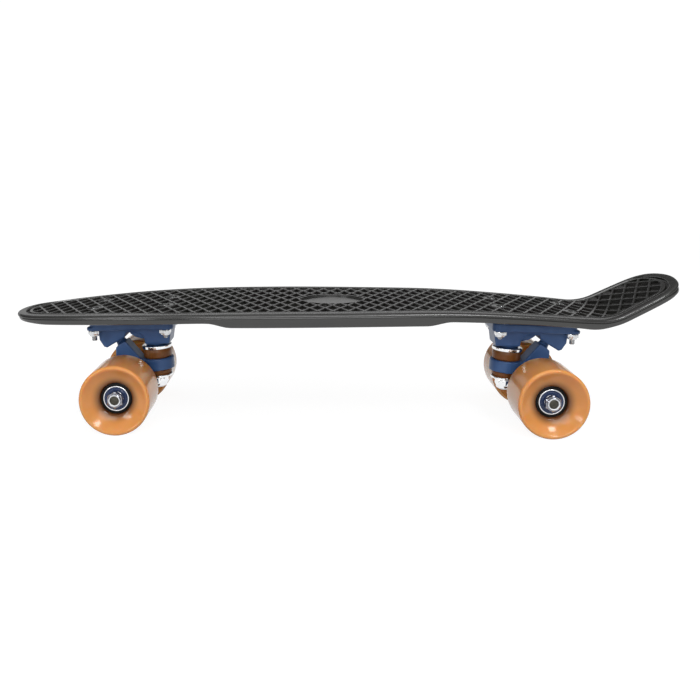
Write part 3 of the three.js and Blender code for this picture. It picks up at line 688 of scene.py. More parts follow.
def deck_blank():
    field = RIM_WIDTH + GROOVE_WIDTH
    skirt_inset = LIP_STEP + SKIRT_WALL
    soft = 0.35
    rings = [
        (field + soft, -FIELD_RISE), (field, soft * 0.3 - FIELD_RISE), (field - 0.1, soft - FIELD_RISE),
        (field - FIT, GROOVE_DEPTH - soft), (field - FIT - soft, GROOVE_DEPTH),
        (RIM_WIDTH + FIT + soft, GROOVE_DEPTH), (RIM_WIDTH + FIT, GROOVE_DEPTH - soft),
        (RIM_WIDTH + 0.1, soft - RIM_SLOPE), (RIM_WIDTH - soft * 0.3, soft * 0.3 - RIM_SLOPE),
        (RIM_WIDTH - soft, -RIM_SLOPE),
    ]
    for k in range(7):
        angle = pi / 2 * k / 6
        rings.append((RIM_ROUND * (1 - sin(angle)), RIM_ROUND * (1 - cos(angle))))
    rings += [
        (0, LIP_DEPTH - 0.5), (0.15, LIP_DEPTH - 0.15), (0.5, LIP_DEPTH), (LIP_STEP + 0.2, LIP_DEPTH + 0.05),
        (LIP_STEP + 0.5, LIP_DEPTH + 0.35), (LIP_STEP + 0.4, LIP_DEPTH + 0.8), (LIP_STEP, LIP_DEPTH + 1.1),
        (LIP_STEP + 0.25, lambda s: skirt_at(s) - 0.8), (LIP_STEP + 0.45, lambda s: skirt_at(s) - 0.35),
        (LIP_STEP + 1.0, skirt_at), (skirt_inset - 0.8, skirt_at),
        (skirt_inset - 0.2, lambda s: skirt_at(s) - 0.3),
        (skirt_inset + 0.2, lambda s: web_at(s) + 0.25), (skirt_inset + 1.0, web_at),
    ]
    return ring_loft(rings)


def pocket_solids():
    """Diamond cells between the crossing ribs, each a closed cutter with rounded upper and lower edges."""
    bm = bmesh.new()
    reach = 27
    bmesh.ops.create_grid(bm, x_segments=2 * reach + 1, y_segments=2 * reach + 1, size=reach + 0.5)
    to_cells = Matrix((
        (CELL_LENGTH / 2, CELL_LENGTH / 2, 0, 0),
        (CELL_WIDTH / 2, -CELL_WIDTH / 2, 0, CELL_WIDTH / 4),
        (0, 0, 1, 0),
        (0, 0, 0, 1),
    ))
    bm.transform(to_cells)
    bmesh.ops.recalc_face_normals(bm, faces=bm.faces)
    far = []
    for face in bm.faces:
        middle = face.calc_center_median()
        if abs(middle.y) > HALF_WIDTH or not -spine.front < middle.x < TAIL_REACH:
            far.append(face)
    bmesh.ops.delete(bm, geom=far, context="FACES")
    rounding = 0.42
    cells = list(bm.faces)
    rib_half = RIB_WIDTH / 2 - rounding
    ribs = bmesh.ops.inset_individual(bm, faces=cells, thickness=rib_half, use_even_offset=True)
    bmesh.ops.delete(bm, geom=ribs["faces"], context="FACES")
    if bm.faces[:][0].normal.z > 0:
        bmesh.ops.reverse_faces(bm, faces=bm.faces)
    above = 2.0
    bmesh.ops.translate(bm, verts=bm.verts, vec=(0, 0, above + FIELD_RISE))
    cells = list(bm.faces)
    levels = (
        (0, above), (rounding * 0.62, rounding * 0.2), (rounding * 0.38, rounding * 0.8),
        (0.12, CELL_DEPTH - rounding - 0.5), (0.15, 0.35), (0.35, 0.15),
    )
    for thickness, depth in levels:
        bmesh.ops.inset_individual(bm, faces=cells, thickness=thickness, depth=depth, use_even_offset=True)
    open_edges = [e for e in bm.edges if len(e.link_faces) == 1]
    bmesh.ops.holes_fill(bm, edges=open_edges, sides=4)
    return closed_out(bm)


def softened_oval():
    """The cutter of the sunk pad, with a dished floor and a rounded corner round it."""
    bm = oval_prism(0.25, 4, -PAD_SINK)
    for k in range(-5, 6):
        sliced(bm, (0, 4 * k, 0), (0, 1, 0))
    for v in bm.verts:
        if v.co.z < 0:
            v.co.z -= PAD_DISH * (1 - (v.co.y / (PAD_WIDTH / 2)) ** 2)
    steep = radians(60)
    corner = [e for e in bm.edges if all(v.co.z < 0 for v in e.verts) and e.calc_face_angle(0) > steep]
    bmesh.ops.bevel(
        bm, geom=corner, offset=0.4, segments=1, profile=0.5, affect="EDGES", material=-1, clamp_overlap=True
    )
    return closed_out(bm, weld=0.001)


def oval_prism(grow, top, bottom):
    """A pointed oval column at the middle of the deck."""
    steps = 20
    reach, rise = PAD_LENGTH / 2 + grow, PAD_WIDTH / 2 + grow
    radius = (reach * reach + rise * rise) / (2 * rise)
    half_angle = asin(reach / radius)
    bm, verts = circle(4 * steps)
    for i, v in enumerate(verts):
        side, k = divmod(i, 2 * steps)
        angle = half_angle * (1 - k / steps)
        sign = 1 if side == 0 else -1
        v.co = (sign * radius * sin(angle), sign * (radius * cos(angle) + rise - radius), top)
    return thickened(bm, (0, 0, bottom - top))


def flat_bar(low, high, steps=1):
    """A straight bar between two corners, cut across so that it can be bent."""
    bm = bmesh.new()
    bmesh.ops.create_cube(bm, size=1)
    size = [b - a for a, b in zip(low, high)]
    bmesh.ops.scale(bm, verts=bm.verts, vec=size)
    bmesh.ops.translate(bm, verts=bm.verts, vec=[(a + b) / 2 for a, b in zip(low, high)])
    for k in range(1, steps):
        sliced(bm, (low[0] + size[0] * k / steps, 0, 0), (1, 0, 0))
    return bm


def bend_mesh(bm):
    for v in bm.verts:
        v.co = bent(v.co)
    return bm


# Truck frames

RING_U, RING_H = -25.4, 15.7
KINGPIN_TILT = radians(2.5)
PIVOT_U, PIVOT_H = 12.2, 43.5
STEM_ANGLE = radians(60.6)
BOLT_MIDDLE = -4.75
BOLT_LONG, BOLT_WIDE = 63.5, 41.3
BOLT_CORNERS = ((1, 1), (1, -1), (-1, 1), (-1, -1))
BOLT_PLACES = [(BOLT_MIDDLE + a * BOLT_LONG / 2, b * BOLT_WIDE / 2) for a, b in BOLT_CORNERS]
BOLT_RADIUS, BOLT_LENGTH = 2.4, 28.6
BOLT_BORE = 2.7
BOLT_SINK = 0.6
MOUNT_NUT_ACROSS, MOUNT_NUT_HEIGHT = 9.5, 5
PLATE_UNDER = 50.9
PLATE_THICK = 7.5
PLATE_TOP = PLATE_UNDER + PLATE_THICK
PLATE_LENGTH, PLATE_WIDTH, PLATE_CORNER = 75, 54, 7
PLATE_PLACE = shift(-6.6, 0, 0)
SEAT_MARGIN = 3
BRACE_HALF = 1.3
BOARD = shift(BOARD_SHIFT, 0, 0)


def truck_frame(end):
    """A truck's frame on the board: U along the board away from the other truck, height from the axle."""
    side = ENDS[end]
    spot = shift(side * WHEELBASE / 2, 0, AXLE_HEIGHT)
    facing = turn("Z", 0 if side > 0 else pi)
    return spot @ facing @ turn("Y", TRUCK_TILT)


def truck_place(end):
    return BOARD @ truck_frame(end)


KINGPIN = shift(RING_U, 0, RING_H) @ turn("Y", KINGPIN_TILT)
PIVOT = shift(PIVOT_U, 0, PIVOT_H) @ turn("Y", pi / 2 - STEM_ANGLE)
OVER = turn("X", pi)


def bolt_top(end, u):
    """The height in the truck's frame at which a bolt's head lies just under the deck's top."""
    x = ENDS[end] * (WHEELBASE / 2 + u)
    point = truck_frame(end).inverted() @ Vector((x, 0, height_at(x)))
    return point.z - BOLT_SINK


def rounded_plate(length, width, radius, bottom, top):
    bm, verts = circle(32, radius=radius)
    for v in verts:
        v.co.x += copysign(length / 2 - radius, v.co.x)
        v.co.y += copysign(width / 2 - radius, v.co.y)
        v.co.z = bottom
    return thickened(bm, (0, 0, top - bottom))


def make_deck():
    """The moulding: waffle, pad, braces, truck seats and bolt holes."""
    pockets = to_object("pockets", pocket_solids())
    field = RIM_WIDTH + GROOVE_WIDTH + BORDER_RIB
    combined(pockets, to_object("field", ring_loft([(field, -5), (field, 8)])), "INTERSECT")
    keep = [oval_prism(PAD_FRAME, 6, -8)]
    for end, side in ENDS.items():
        for u, v in BOLT_PLACES:
            keep.append(column(7.0, -8, 6, side * (WHEELBASE / 2 + u), v))
    combined(pockets, to_object("keep", joined(keep)), "DIFFERENCE")
    deck = to_object("deck_shell", deck_blank())
    combined(deck, pockets, "DIFFERENCE")
    combined(deck, to_object("pad", softened_oval()), "DIFFERENCE")
    shell = to_object("deck_shell", moved(bend_mesh(taken_back(deck)), BOARD))
    braces = []
    reach = WHEELBASE / 2 + PLATE_PLACE.translation.x - PLATE_LENGTH / 2
    for y in (-22, 22):
        braces.append(flat_bar((-reach, y - BRACE_HALF, -9.2), (reach, y + BRACE_HALF, -WEB + 1), 60))
    for share in (-0.5, 0, 0.5):
        s = share * reach
        wide = min(half, key=lambda p: abs(p.x - s)).y - LIP_STEP - SKIRT_WALL / 2
        braces.append(flat_bar((s - BRACE_HALF, -wide, -7.6), (s + BRACE_HALF, wide, -WEB + 1)))
    add_ons = [moved(bend_mesh(brace), BOARD) for brace in braces]
    for end in ENDS:
        top = min(bolt_top(end, u) for u, _ in BOLT_PLACES) - 1
        length, width = PLATE_LENGTH + 2 * SEAT_MARGIN, PLATE_WIDTH + 2 * SEAT_MARGIN
        seat = rounded_plate(length, width, PLATE_CORNER + SEAT_MARGIN, PLATE_TOP + FIT, top)
        add_ons.append(moved(seat, truck_place(end) @ PLATE_PLACE))
    for piece in add_ons:
        combined(shell, to_object("rib", piece), "UNION")
    holes = []
    for end in ENDS:
        for u, v in BOLT_PLACES:
            top = bolt_top(end, u)
            rings = [(BOLT_BORE, PLATE_TOP - 3), (BOLT_BORE, top - 2.9), (5.1, top - 0.3), (5.1, top + 3)]
            holes.append(moved(turned(rings, 32), truck_place(end) @ shift(u, v, 0)))
    combined(shell, to_object("holes", joined(holes)), "DIFFERENCE")
    bm = taken_back(shell)
    bmesh.ops.remove_doubles(bm, verts=bm.verts, dist=0.0005)
    add_piece("deck_waffle_moulding", bm, None, deck_plastic, CHASSIS, ["deck"], 38)


make_deck()


# Turned pieces of the wheels and axles

WHEEL_MIDDLE = 50.5
WHEEL_RADIUS = AXLE_HEIGHT
BEARING_FACE = 63.5
INNER_FACE = 39.5
BEARING_WIDTH = 7.0
CORE_RADIUS = 13.2
AXLE_RADIUS, AXLE_HALF = 4.0, 70.5
THREAD_PITCH = 1.06
AXLE_NUT_FACE = 64.9
AXLE_NUT_ACROSS, AXLE_NUT_BORE, AXLE_NUT_HEIGHT = 12.7, 4.25, 6.4


def hub_frame(end, hand):
    """The axle's middle with Z out towards the wheel on that hand."""
    spot = shift(ENDS[end] * WHEELBASE / 2, 0, AXLE_HEIGHT)
    return BOARD @ spot @ turn("X", -HANDS[hand] * pi / 2)


def stood(section, face, outward=1, segments=64):
    """A section of (radius, height) turned round the axle, with its heights counted from a face."""
    return turned([(r, face + outward * h) for r, h in section], segments)


def tyre_form():
    """The poured urethane round the core, with a painted shade value kept on each point: full near the core,
    none beyond a radius of 21.5 mm.
    """
    bm = stood(rounded([
        (CORE_RADIUS, -10.4), (CORE_RADIUS, 12.0), (13.9, 13.7, 0.5),
        *[(14.8 + 1.2 * k, 14.6 + 0.32 * 1.2 * k + 0.0225 * (1.2 * k) ** 2) for k in range(11)],
        (28.45, 22.55, 1.5), (WHEEL_RADIUS, 20.6, 1.2), (WHEEL_RADIUS, 7), (WHEEL_RADIUS, -7),
        (WHEEL_RADIUS, -20.5, 1.6), (28.2, -22.4, 1.2), (22, -20.5, 4), (17.5, -16.4), (14.6, -13.0, 1.5),
    ], steps=5), WHEEL_MIDDLE, segments=96)
    # Painted shade: 1 at the core, easing to 0 by a radius of 21.5 mm, which darkens the urethane's colour
    # there
    shade = bm.verts.layers.float.new("painted_core_shade")
    for v in bm.verts:
        radius = hypot(v.co.x, v.co.y)
        v[shade] = 1 - eased(radius, CORE_RADIUS - 1, 21.5)
    return bm


def core_form():
    """The stiff sleeve that the urethane is poured round, with the seats of both bearings."""
    return stood(rounded([
        (9.5, -3.7), (9.5, 5.7), (11.3, 5.7), (11.3, 12.7, 0.25), (CORE_RADIUS, 12.5, 0.5),
        (CORE_RADIUS, -11.1, 0.5), (11.3, -11.2, 0.25), (11.3, -3.7),
    ]), WHEEL_MIDDLE, segments=96)


def race_forms(face, outward):
    """The outer and inner rings of a bearing, from its visible face."""
    rings = []
    for inner, outer, soft in ((10.0, 11.0, 0.4), (4.15, 6.1, 0.3)):
        back = -BEARING_WIDTH
        section = rounded([(inner, 0, 0.15), (outer, 0, soft), (outer, back, soft), (inner, back, 0.15)])
        rings.append(stood(section, face, outward))
    return rings


def shield_forms(face, outward):
    """The pressed shields on both sides of a bearing."""
    section = [
        (6.2, -0.5), (6.6, -0.3), (8.1, -0.3), (8.5, -0.6), (9.0, -0.6), (9.3, -0.4), (9.9, -0.4),
        (9.9, -0.85), (8.4, -0.85), (8.0, -0.55), (6.6, -0.55), (6.2, -0.7), (6.2, -0.5),
    ]
    far = [(r, -BEARING_WIDTH - h) for r, h in section]
    return [stood(section, face, outward), stood(far, face, outward)]


def lock_nut_forms(across, bore, height):
    """A hexagon under a round collar, and the locking ring inside it. It stands on z = 0."""
    corner = across / 2 / cos(pi / 6)
    fall = (corner - across / 2) * 0.6
    hex_top = height * 0.7
    collar = across / 2 * 0.9
    ring = collar - 0.75
    floor = height - 1.7
    flats = hexagon(across, corner)
    faced = hexagon(across, across / 2 * 0.985)
    body = turned([
        (bore, 0.3), (bore + 0.3, 0), (faced, 0), (flats, fall), (flats, hex_top - fall), (faced, hex_top),
        (collar, hex_top + 0.1), (collar, height - 0.8), (collar - 0.12, height - 0.35),
        (collar - 0.45, height - 0.06), (collar - 0.6, height), (ring, height - 0.15), (ring, floor),
        (bore, floor), (bore, 0.3),
    ])
    locking = turned([
        (bore - 0.2, floor + 0.05), (ring - 0.05, floor + 0.05), (ring - 0.05, height - 0.5),
        (ring - 0.35, height - 0.3), (bore + 0.15, height - 0.3), (bore - 0.2, height - 0.6),
        (bore - 0.2, floor + 0.05),
    ])
    return body, locking


def make_wheel(end, hand):
    here = hub_frame(end, hand)
    body = f"{end}_{hand}_wheel_set"
    name = f"{end}_{hand}"
    tyre = f"{name}_urethane_tyre"
    add_piece(tyre, tyre_form(), here, wheel_urethane, body, [f"{name}_wheel"], 40)
    # The core sleeve's near-black colour is painted shade round the bearing
    add_piece(f"{name}_wheel_core", core_form(), here, core_painted_shade_black, body, angle=40)
    for place, face, outward in (("outer", BEARING_FACE, 1), ("inner", INNER_FACE, -1)):
        bearing = f"{name}_{place}_bearing"
        races = joined([moved(form, here) for form in race_forms(face, outward)])
        add_piece(f"{bearing}_races", races, None, race_steel, body, [bearing])
        shields = joined([moved(form, here) for form in shield_forms(face, outward)])
        add_piece(f"{bearing}_shields", shields, None, shield_blue, body)
    hanger = f"{end}_truck_hanger"
    washer = rounded([(4.2, 0.1), (5.8, 0.1, 0.2), (5.8, 0.9, 0.2), (4.2, 0.9)])
    outer = stood(washer, BEARING_FACE + 0.2, segments=48)
    add_piece(f"{name}_outer_washer", outer, here, zinc_steel, hanger, [f"{name}_speed_washer"])
    inner = stood(washer, INNER_FACE - 1.1, segments=48)
    add_piece(f"{name}_inner_washer", inner, here, zinc_steel, hanger)
    nut, locking = lock_nut_forms(AXLE_NUT_ACROSS, AXLE_NUT_BORE, AXLE_NUT_HEIGHT)
    seat = here @ shift(0, 0, AXLE_NUT_FACE)
    stands_for = [f"{name}_axle_nut"]
    add_piece(f"{name}_axle_lock_nut", nut, seat, nut_steel, hanger, stands_for, 25)
    add_piece(f"{name}_axle_nut_ring", locking, seat, nylon_white, hanger)


def make_axle(end):
    thread = threaded(AXLE_RADIUS, 63.9, AXLE_HALF - 0.7, THREAD_PITCH)
    ends = [(AXLE_RADIUS, 63.2), (3.75, 63.5)] + thread + [(3.3, AXLE_HALF - 0.1), (3.0, AXLE_HALF)]
    rings = [(r, -h) for r, h in reversed(ends)] + ends
    here, hanger = hub_frame(end, "right"), f"{end}_truck_hanger"
    add_piece(f"{end}_axle_rod", turned(rings, 40), here, axle_steel, hanger, [f"{end}_axle"], 50)


# Trucks: castings, kingpin, cushions and fasteners

RING_THICK = 10.6
RING_SEAT = RING_THICK / 2 - 1.3
UPPER_CUSHION, LOWER_CUSHION = 11.6, 7.0
CUP_THICK = 1.2
UPPER_WASHER_TOP = RING_SEAT + FIT + UPPER_CUSHION + FIT + CUP_THICK
KINGPIN_NUT_FACE = RING_SEAT + FIT + LOWER_CUSHION + FIT + CUP_THICK + FIT
KINGPIN_NUT_ACROSS, KINGPIN_NUT_HEIGHT = 14.3, 8.4
KINGPIN_RADIUS = 4.75
KINGPIN_BORE = 5.05
KINGPIN_HEX = 14
KINGPIN_HEAD_TOP = PLATE_TOP - RING_H - KINGPIN_HEX * sin(KINGPIN_TILT) - FIT
SHANK_BORE = 5.1

# The castings' profiles from the side, in the truck's frame
KINGPIN_BLOCK = [
    (-41.2, 54.6), (-38.2, 35.3), (-16.5, 35.3), (-15.4, 41.5), (-12.9, 44.6), (-9, 46.5), (0.5, 46.5)
]
PIVOT_BLOCK = [(18.2, 32.6), (21, 33.6), (24.8, 39.8), (25.4, 47), (25.6, 54.6)]
ARCH_RIB = [(-18, 39), (-13, 39.2), (-7.5, 40.6), (-3, 43.2), (0, 47), (0, 54.6), (-18, 54.6)]
HANGER_WEB = [(-9.1, -5.2), (0, -9.8), (10.9, 5.2), (11.7, 16.7), (11.7, 31.4), (7.6, 35.2), (2.6, 37.4)]
PIVOT_MOUTH = 6.4
RING_POCKET = 11.3
CAST_VOXEL = 0.75


def side_block(points, width, draft=0.0, level=0.0):
    """A profile of (u, h) seen from the side, given a width, and drawn in with distance from a level."""
    bm, verts = circle(len(points))
    for v, (u, h) in zip(verts, points):
        v.co = (u, -width / 2, h)
    thickened(bm, (0, width, 0))
    for v in bm.verts:
        v.co.y *= 1 - draft * abs(v.co.z - level)
    return bm


def casting(forms, bores, softness):
    """Joined forms with their edges and corners softened as in a casting, then bored."""
    rough = to_object("rough", joined(forms))
    remesh = rough.modifiers.new("cast", "REMESH")
    remesh.mode = "VOXEL"
    remesh.voxel_size = CAST_VOXEL * MM
    soften = rough.modifiers.new("soften", "SMOOTH")
    soften.factor = 0.5
    soften.iterations = softness
    bake(rough)
    combined(rough, to_object("bores", joined(bores)), "DIFFERENCE")
    return taken_back(rough)


def mouth_point(across):
    """A corner of the pivot block's mouth, where the stem goes in."""
    point = PIVOT @ Vector((across, 0, -PIVOT_MOUTH))
    return point.x, point.z


def make_baseplate(end):
    plate = rounded_plate(PLATE_LENGTH, PLATE_WIDTH, PLATE_CORNER, PLATE_UNDER, PLATE_TOP)
    moved(plate, PLATE_PLACE)
    blocks = side_block(KINGPIN_BLOCK + [mouth_point(-8), mouth_point(8)] + PIVOT_BLOCK, 28, 0.003, 54.6)
    arch_rib = side_block(ARCH_RIB, 15)
    boss = rod(10, UPPER_WASHER_TOP + FIT, UPPER_WASHER_TOP + 4, KINGPIN)
    nut_pads = [column(6.4, PLATE_UNDER + 0.05, PLATE_UNDER + 3, u, v) for u, v in BOLT_PLACES]
    bores = [
        rod(KINGPIN_BORE, 0, PLATE_TOP, KINGPIN, 40),
        rod(hexagon(KINGPIN_HEX + 2 * FIT), KINGPIN_HEAD_TOP - 6.3, PLATE_TOP, KINGPIN),
        rod(6.8, -9.4, 6.8, PIVOT),
    ]
    bores += [column(BOLT_BORE, PLATE_UNDER - 3, PLATE_TOP + 3, u, v) for u, v in BOLT_PLACES]
    cast = casting([plate, blocks, arch_rib, boss] + nut_pads, bores, 4)
    name, here = f"{end}_baseplate_casting", truck_place(end)
    add_piece(name, cast, here, truck_paint, CHASSIS, [f"{end}_baseplate"], 42)


def stem_form():
    """The hanger's stem with its ball in the pivot."""
    return moved(turned(dome(4.6) + [(4.4, -1.8), (4.4, -7.4), (4.9, -9.6), (4.9, -28)]), PIVOT)


def make_hanger(end):
    half_thick = RING_THICK / 2
    ring = rod(14.5, -half_thick, half_thick, KINGPIN, 64)
    high, low = RING_H + half_thick - 0.7, RING_H - half_thick + 0.7
    root = RING_U + 13.8
    web = side_block([(RING_U, low), (root, low)] + HANGER_WEB + [(root, high), (RING_U, high)], 18)
    across = turn("X", pi / 2)
    half_beam = [(5.7, 38.9), (7.5, 38.4), (8.3, 36.6), (8.9, 33), (9.5, 24), (10.4, 10)]
    beam = moved(turned(half_beam + [(r, -y) for r, y in reversed(half_beam)], 64), across)
    wings = side_block([(-34, 4), (-9, 22), (9, 22), (34, 4), (34, -4), (-34, -4)], 9)
    moved(wings, turn("Z", pi / 2))
    bores = [
        rod(6.5, -20, 20, KINGPIN),
        rod(RING_POCKET, RING_SEAT, 9, KINGPIN),
        rod(RING_POCKET, -9, -RING_SEAT, KINGPIN),
        rod(4.3, -50, 50, across, 40),
    ]
    cast = casting([ring, web, beam, wings, stem_form()], bores, 5)
    name, body = f"{end}_hanger_casting", f"{end}_truck_hanger"
    add_piece(name, cast, truck_place(end), truck_paint, body, [f"{end}_hanger"], 42)


def bushing_form(radius, height):
    """A urethane cushion standing in the ring's seat at z = 0, waisted and rounded."""
    return turned(rounded([
        (SHANK_BORE, 0), (11, 0, 0.3), (11, 1.3, 0.2), (radius, 1.9, 0.8), (radius, height * 0.62, 2.0),
        (radius - 0.75, height - 1.6, 1.0), (radius - 0.8, height, 0.5), (SHANK_BORE, height),
    ], steps=4), 64)


def cup_form(radius, lip):
    """A pressed washer on z = 0 whose lip reaches down round a bushing's end."""
    inner = radius - 0.4
    return turned(rounded([
        (SHANK_BORE, 0), (inner, 0, 0.5), (inner, -lip, 0.15), (inner + 1.1, -lip, 0.5),
        (inner + 1.2, 0.7, 0.6), (inner - 0.4, CUP_THICK, 0.7), (SHANK_BORE, CUP_THICK),
    ], steps=4), 64)


def bolt_form(top):
    """A flat-headed machine screw hanging from z = top."""
    foot = top - BOLT_LENGTH
    thread = threaded(BOLT_RADIUS, foot + 0.6, foot + 13, 0.8, 0.3)
    head = [(BOLT_RADIUS, top - 2.6), (4.7, top - 0.25), (4.8, top - 0.1), (4.7, top), (0.01, top)]
    return turned([(0.01, foot), (1.7, foot), (2.05, foot + 0.4)] + thread + head, 24)


def driver_recess(top):
    """The tapered cross that a screwdriver fits."""
    arms = []
    for angle in (0, pi / 2):
        bm = bmesh.new()
        bmesh.ops.create_cube(bm, size=1)
        for v in bm.verts:
            reach, rise = (2.5, 0.5) if v.co.z > 0 else (1.1, -1.8)
            v.co = (copysign(reach, v.co.x), copysign(0.42, v.co.y), top + rise)
        arms.append(moved(bm, turn("Z", angle)))
    return arms


def make_fasteners(end):
    here = truck_place(end)
    for number, (u, v) in enumerate(BOLT_PLACES, 1):
        top = bolt_top(end, u)
        screw = to_object("screw", bolt_form(top))
        for arm in driver_recess(top):
            combined(screw, to_object("arm", arm), "DIFFERENCE")
        name, seat = f"{end}_mount_screw_{number}", here @ shift(u, v, 0)
        stands_for = [f"{end}_mount_bolt_{number}"]
        add_piece(name, taken_back(screw), seat, zinc_steel, CHASSIS, stands_for)
        nut, locking = lock_nut_forms(MOUNT_NUT_ACROSS, BOLT_BORE, MOUNT_NUT_HEIGHT)
        seat = here @ shift(u, v, PLATE_UNDER - FIT) @ OVER
        name, stands_for = f"{end}_mount_lock_nut_{number}", [f"{end}_mount_nut_{number}"]
        add_piece(name, nut, seat, zinc_steel, CHASSIS, stands_for, 25)
        add_piece(f"{end}_mount_nut_ring_{number}", locking, seat, nylon_white, CHASSIS)


def make_kingpin(end):
    """The kingpin with its nut, both bushings and their cup washers, and the pivot's seat."""
    here = truck_place(end) @ KINGPIN
    foot = -KINGPIN_NUT_FACE - KINGPIN_NUT_HEIGHT - 1.2
    head_foot = KINGPIN_HEAD_TOP - 6
    thread = threaded(KINGPIN_RADIUS, foot + 0.7, -KINGPIN_NUT_FACE + 0.6, THREAD_PITCH)
    shank = [(0.01, foot), (3.9, foot), (4.3, foot + 0.4)] + thread + [(KINGPIN_RADIUS, head_foot)]
    flats, faced = hexagon(KINGPIN_HEX), hexagon(KINGPIN_HEX, KINGPIN_HEX / 2)
    head = [
        (faced, head_foot), (flats, head_foot + 0.5), (flats, KINGPIN_HEAD_TOP - 0.6),
        (faced, KINGPIN_HEAD_TOP), (0.01, KINGPIN_HEAD_TOP),
    ]
    kingpin = turned(shank + head)
    add_piece(f"{end}_kingpin_bolt", kingpin, here, zinc_steel, CHASSIS, [f"{end}_kingpin"])
    nut, locking = lock_nut_forms(KINGPIN_NUT_ACROSS, KINGPIN_BORE, KINGPIN_NUT_HEIGHT)
    seat = here @ shift(0, 0, -KINGPIN_NUT_FACE) @ OVER
    name, stands_for = f"{end}_kingpin_lock_nut", [f"{end}_kingpin_nut"]
    add_piece(name, nut, seat, polished_chrome, CHASSIS, stands_for, 25)
    add_piece(f"{end}_kingpin_nut_ring", locking, seat, nylon_dark, CHASSIS)
    levels = (("upper", here, 12.7, UPPER_CUSHION, 2.2), ("lower", here @ OVER, 11.5, LOWER_CUSHION, 1.3))
    for level, stand, radius, height, lip in levels:
        seat = stand @ shift(0, 0, RING_SEAT + FIT)
        bushing = to_object(f"{end}_{level}_cushion", bushing_form(radius, height), seat)
        bushing.data.materials.append(bushing_urethane)
        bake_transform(bushing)
        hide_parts(f"{end}_{level}_bushing")
        seat = stand @ shift(0, 0, RING_SEAT + FIT + height + FIT)
        name, stands_for = f"{end}_{level}_dished_washer", [f"{end}_{level}_cup_washer"]
        add_piece(name, cup_form(radius, lip), seat, polished_chrome, CHASSIS, stands_for)
    mouth = -PIVOT_MOUTH
    wall = [
        (4.9, mouth + 0.3), (5.1, mouth), (6.3, mouth), (6.5, mouth + 0.3), (6.5, 6.2), (6.2, 6.5),
        (0.01, 6.5),
    ]
    cup, seat = turned(dome(4.9) + wall), truck_place(end) @ PIVOT
    stands_for = [f"{end}_pivot_cup"]
    add_piece(f"{end}_pivot_seat", cup, seat, black_urethane, CHASSIS, stands_for)


for end in ENDS:
    make_baseplate(end)
    make_hanger(end)
    make_kingpin(end)
    make_fasteners(end)
    make_axle(end)
    for hand in HANDS:
        make_wheel(end, hand)


# Studio

FLOOR_REACH = 2.2


def studio_paper(name, shade, glow):
    """Pale paper, evenly lit."""
    return finish(
        name, (shade,) * 3, (shade + 0.03,) * 3, (0.8, 0.9), patch=3, grain=60,
        specular=0.1, Emission_Color=(1, 1, 1, 1), Emission_Strength=glow,
    )


def make_floor():
    disc, _ = circle(96, radius=FLOOR_REACH / MM)
    floor = to_object("floor", disc)
    floor.data.materials.append(studio_paper("floor_paper", 0.15, 0.92))
    floor.visible_diffuse = False
    rise, steps = 700, 8
    angles = [pi / 2 * k / steps for k in range(steps + 1)]
    bend = [(FLOOR_REACH / MM + rise * sin(a), rise * (1 - cos(a))) for a in angles]
    bm, verts = circle(96, cap_ends=False)
    edges = list(bm.edges)
    place_ring(verts, bend[0])
    for ring in bend[1:] + [(bend[-1][0], 1500)]:
        verts, edges = grown_ring(bm, edges)
        place_ring(verts, ring)
    sweep = to_object("backdrop", bm)
    sweep.data.materials.append(studio_paper("backdrop_paper", 0.02, 1.02))
    sweep.visible_glossy = False
    sweep.visible_diffuse = False


def place_ring(verts, ring):
    """Puts a ring of points at a radius and height, each at its own angle."""
    radius, height = ring
    for v in verts:
        flat = Vector((v.co.x, v.co.y)).normalized() * radius
        v.co = (flat.x, flat.y, height)


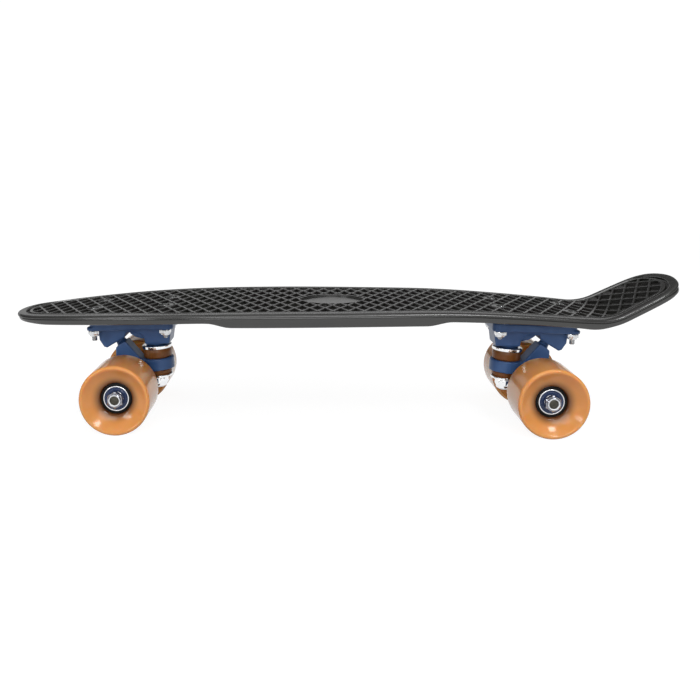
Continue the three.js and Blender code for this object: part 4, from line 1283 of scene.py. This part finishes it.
def add_softbox(name, place, aim, size, power):
    data = bpy.data.lights.new(name, "AREA")
    data.shape = "RECTANGLE"
    data.size, data.size_y = size
    data.energy = power
    light = bpy.data.objects.new(name, data)
    facing = (Vector(place) - Vector(aim)).to_track_quat("Z", "Y").to_matrix().to_4x4()
    light.matrix_world = Matrix.Translation(place) @ facing
    bpy.context.scene.collection.objects.link(light)


def sky(tree):
    """The room round the paper: bright overhead, a lit wall low down at the back, dim elsewhere."""

    def product(a, b):
        times = node(tree, "Math")
        times.operation = "MULTIPLY"
        feed(tree, times.inputs[0], a)
        feed(tree, times.inputs[1], b)
        return times.outputs[0]

    def mixed(share, low, high):
        mix = node(tree, "Mix")
        for socket, value in ((MIX_SHARE, share), (MIX_VALUE_A, low), (MIX_VALUE_B, high)):
            feed(tree, mix.inputs[socket], value)
        return mix.outputs[MIX_VALUE]

    parts = node(tree, "SeparateXYZ", Vector=node(tree, "TexCoord").outputs["Generated"])
    up, back = parts.outputs["Z"], parts.outputs["Y"]
    front_light = product(spread(tree, back, 0.64, 0.10, -0.8, 0.3), spread(tree, up, 0.55, 1, -0.7, 0.0))
    overhead = mixed(spread(tree, up, 0, 1, 0.40, 0.80), front_light, 0.50)
    wall = product(spread(tree, up, 0, 1, 0.04, 0.12), spread(tree, up, 1, 0, 0.21, 0.29))
    return mixed(product(wall, spread(tree, back, 0, 1, 0.1, 0.5)), overhead, 0.64)


def light_studio():
    world = bpy.data.worlds.new("studio")
    bpy.context.scene.world = world
    world.use_nodes = True
    tree = world.node_tree
    tree.nodes["Background"].inputs["Color"].default_value = (1, 1, 1, 1)
    tree.links.new(sky(tree), tree.nodes["Background"].inputs["Strength"])
    add_softbox("overhead", (0, -0.15, 1.6), (0, 0, 0), (1.6, 1.0), 3.0)
    add_softbox("strip", (0, -0.75, 1.35), (0, 0, 0.08), (2.4, 0.25), 5.0)
    add_softbox("window_right", (0.65, -1.22, 1.20), (0.18, -0.07, 0.03), (0.40, 0.34), 7.5)
    add_softbox("window_left", (-1.18, -1.21, 0.53), (-0.18, -0.07, 0.03), (0.60, 0.28), 4.0)
    add_softbox("front", (0, -1.9, 0.75), (0, 0, 0.05), (1.4, 0.8), 12.0)


make_floor()
light_studio()
bpy.context.scene.view_settings.view_transform = "Standard"
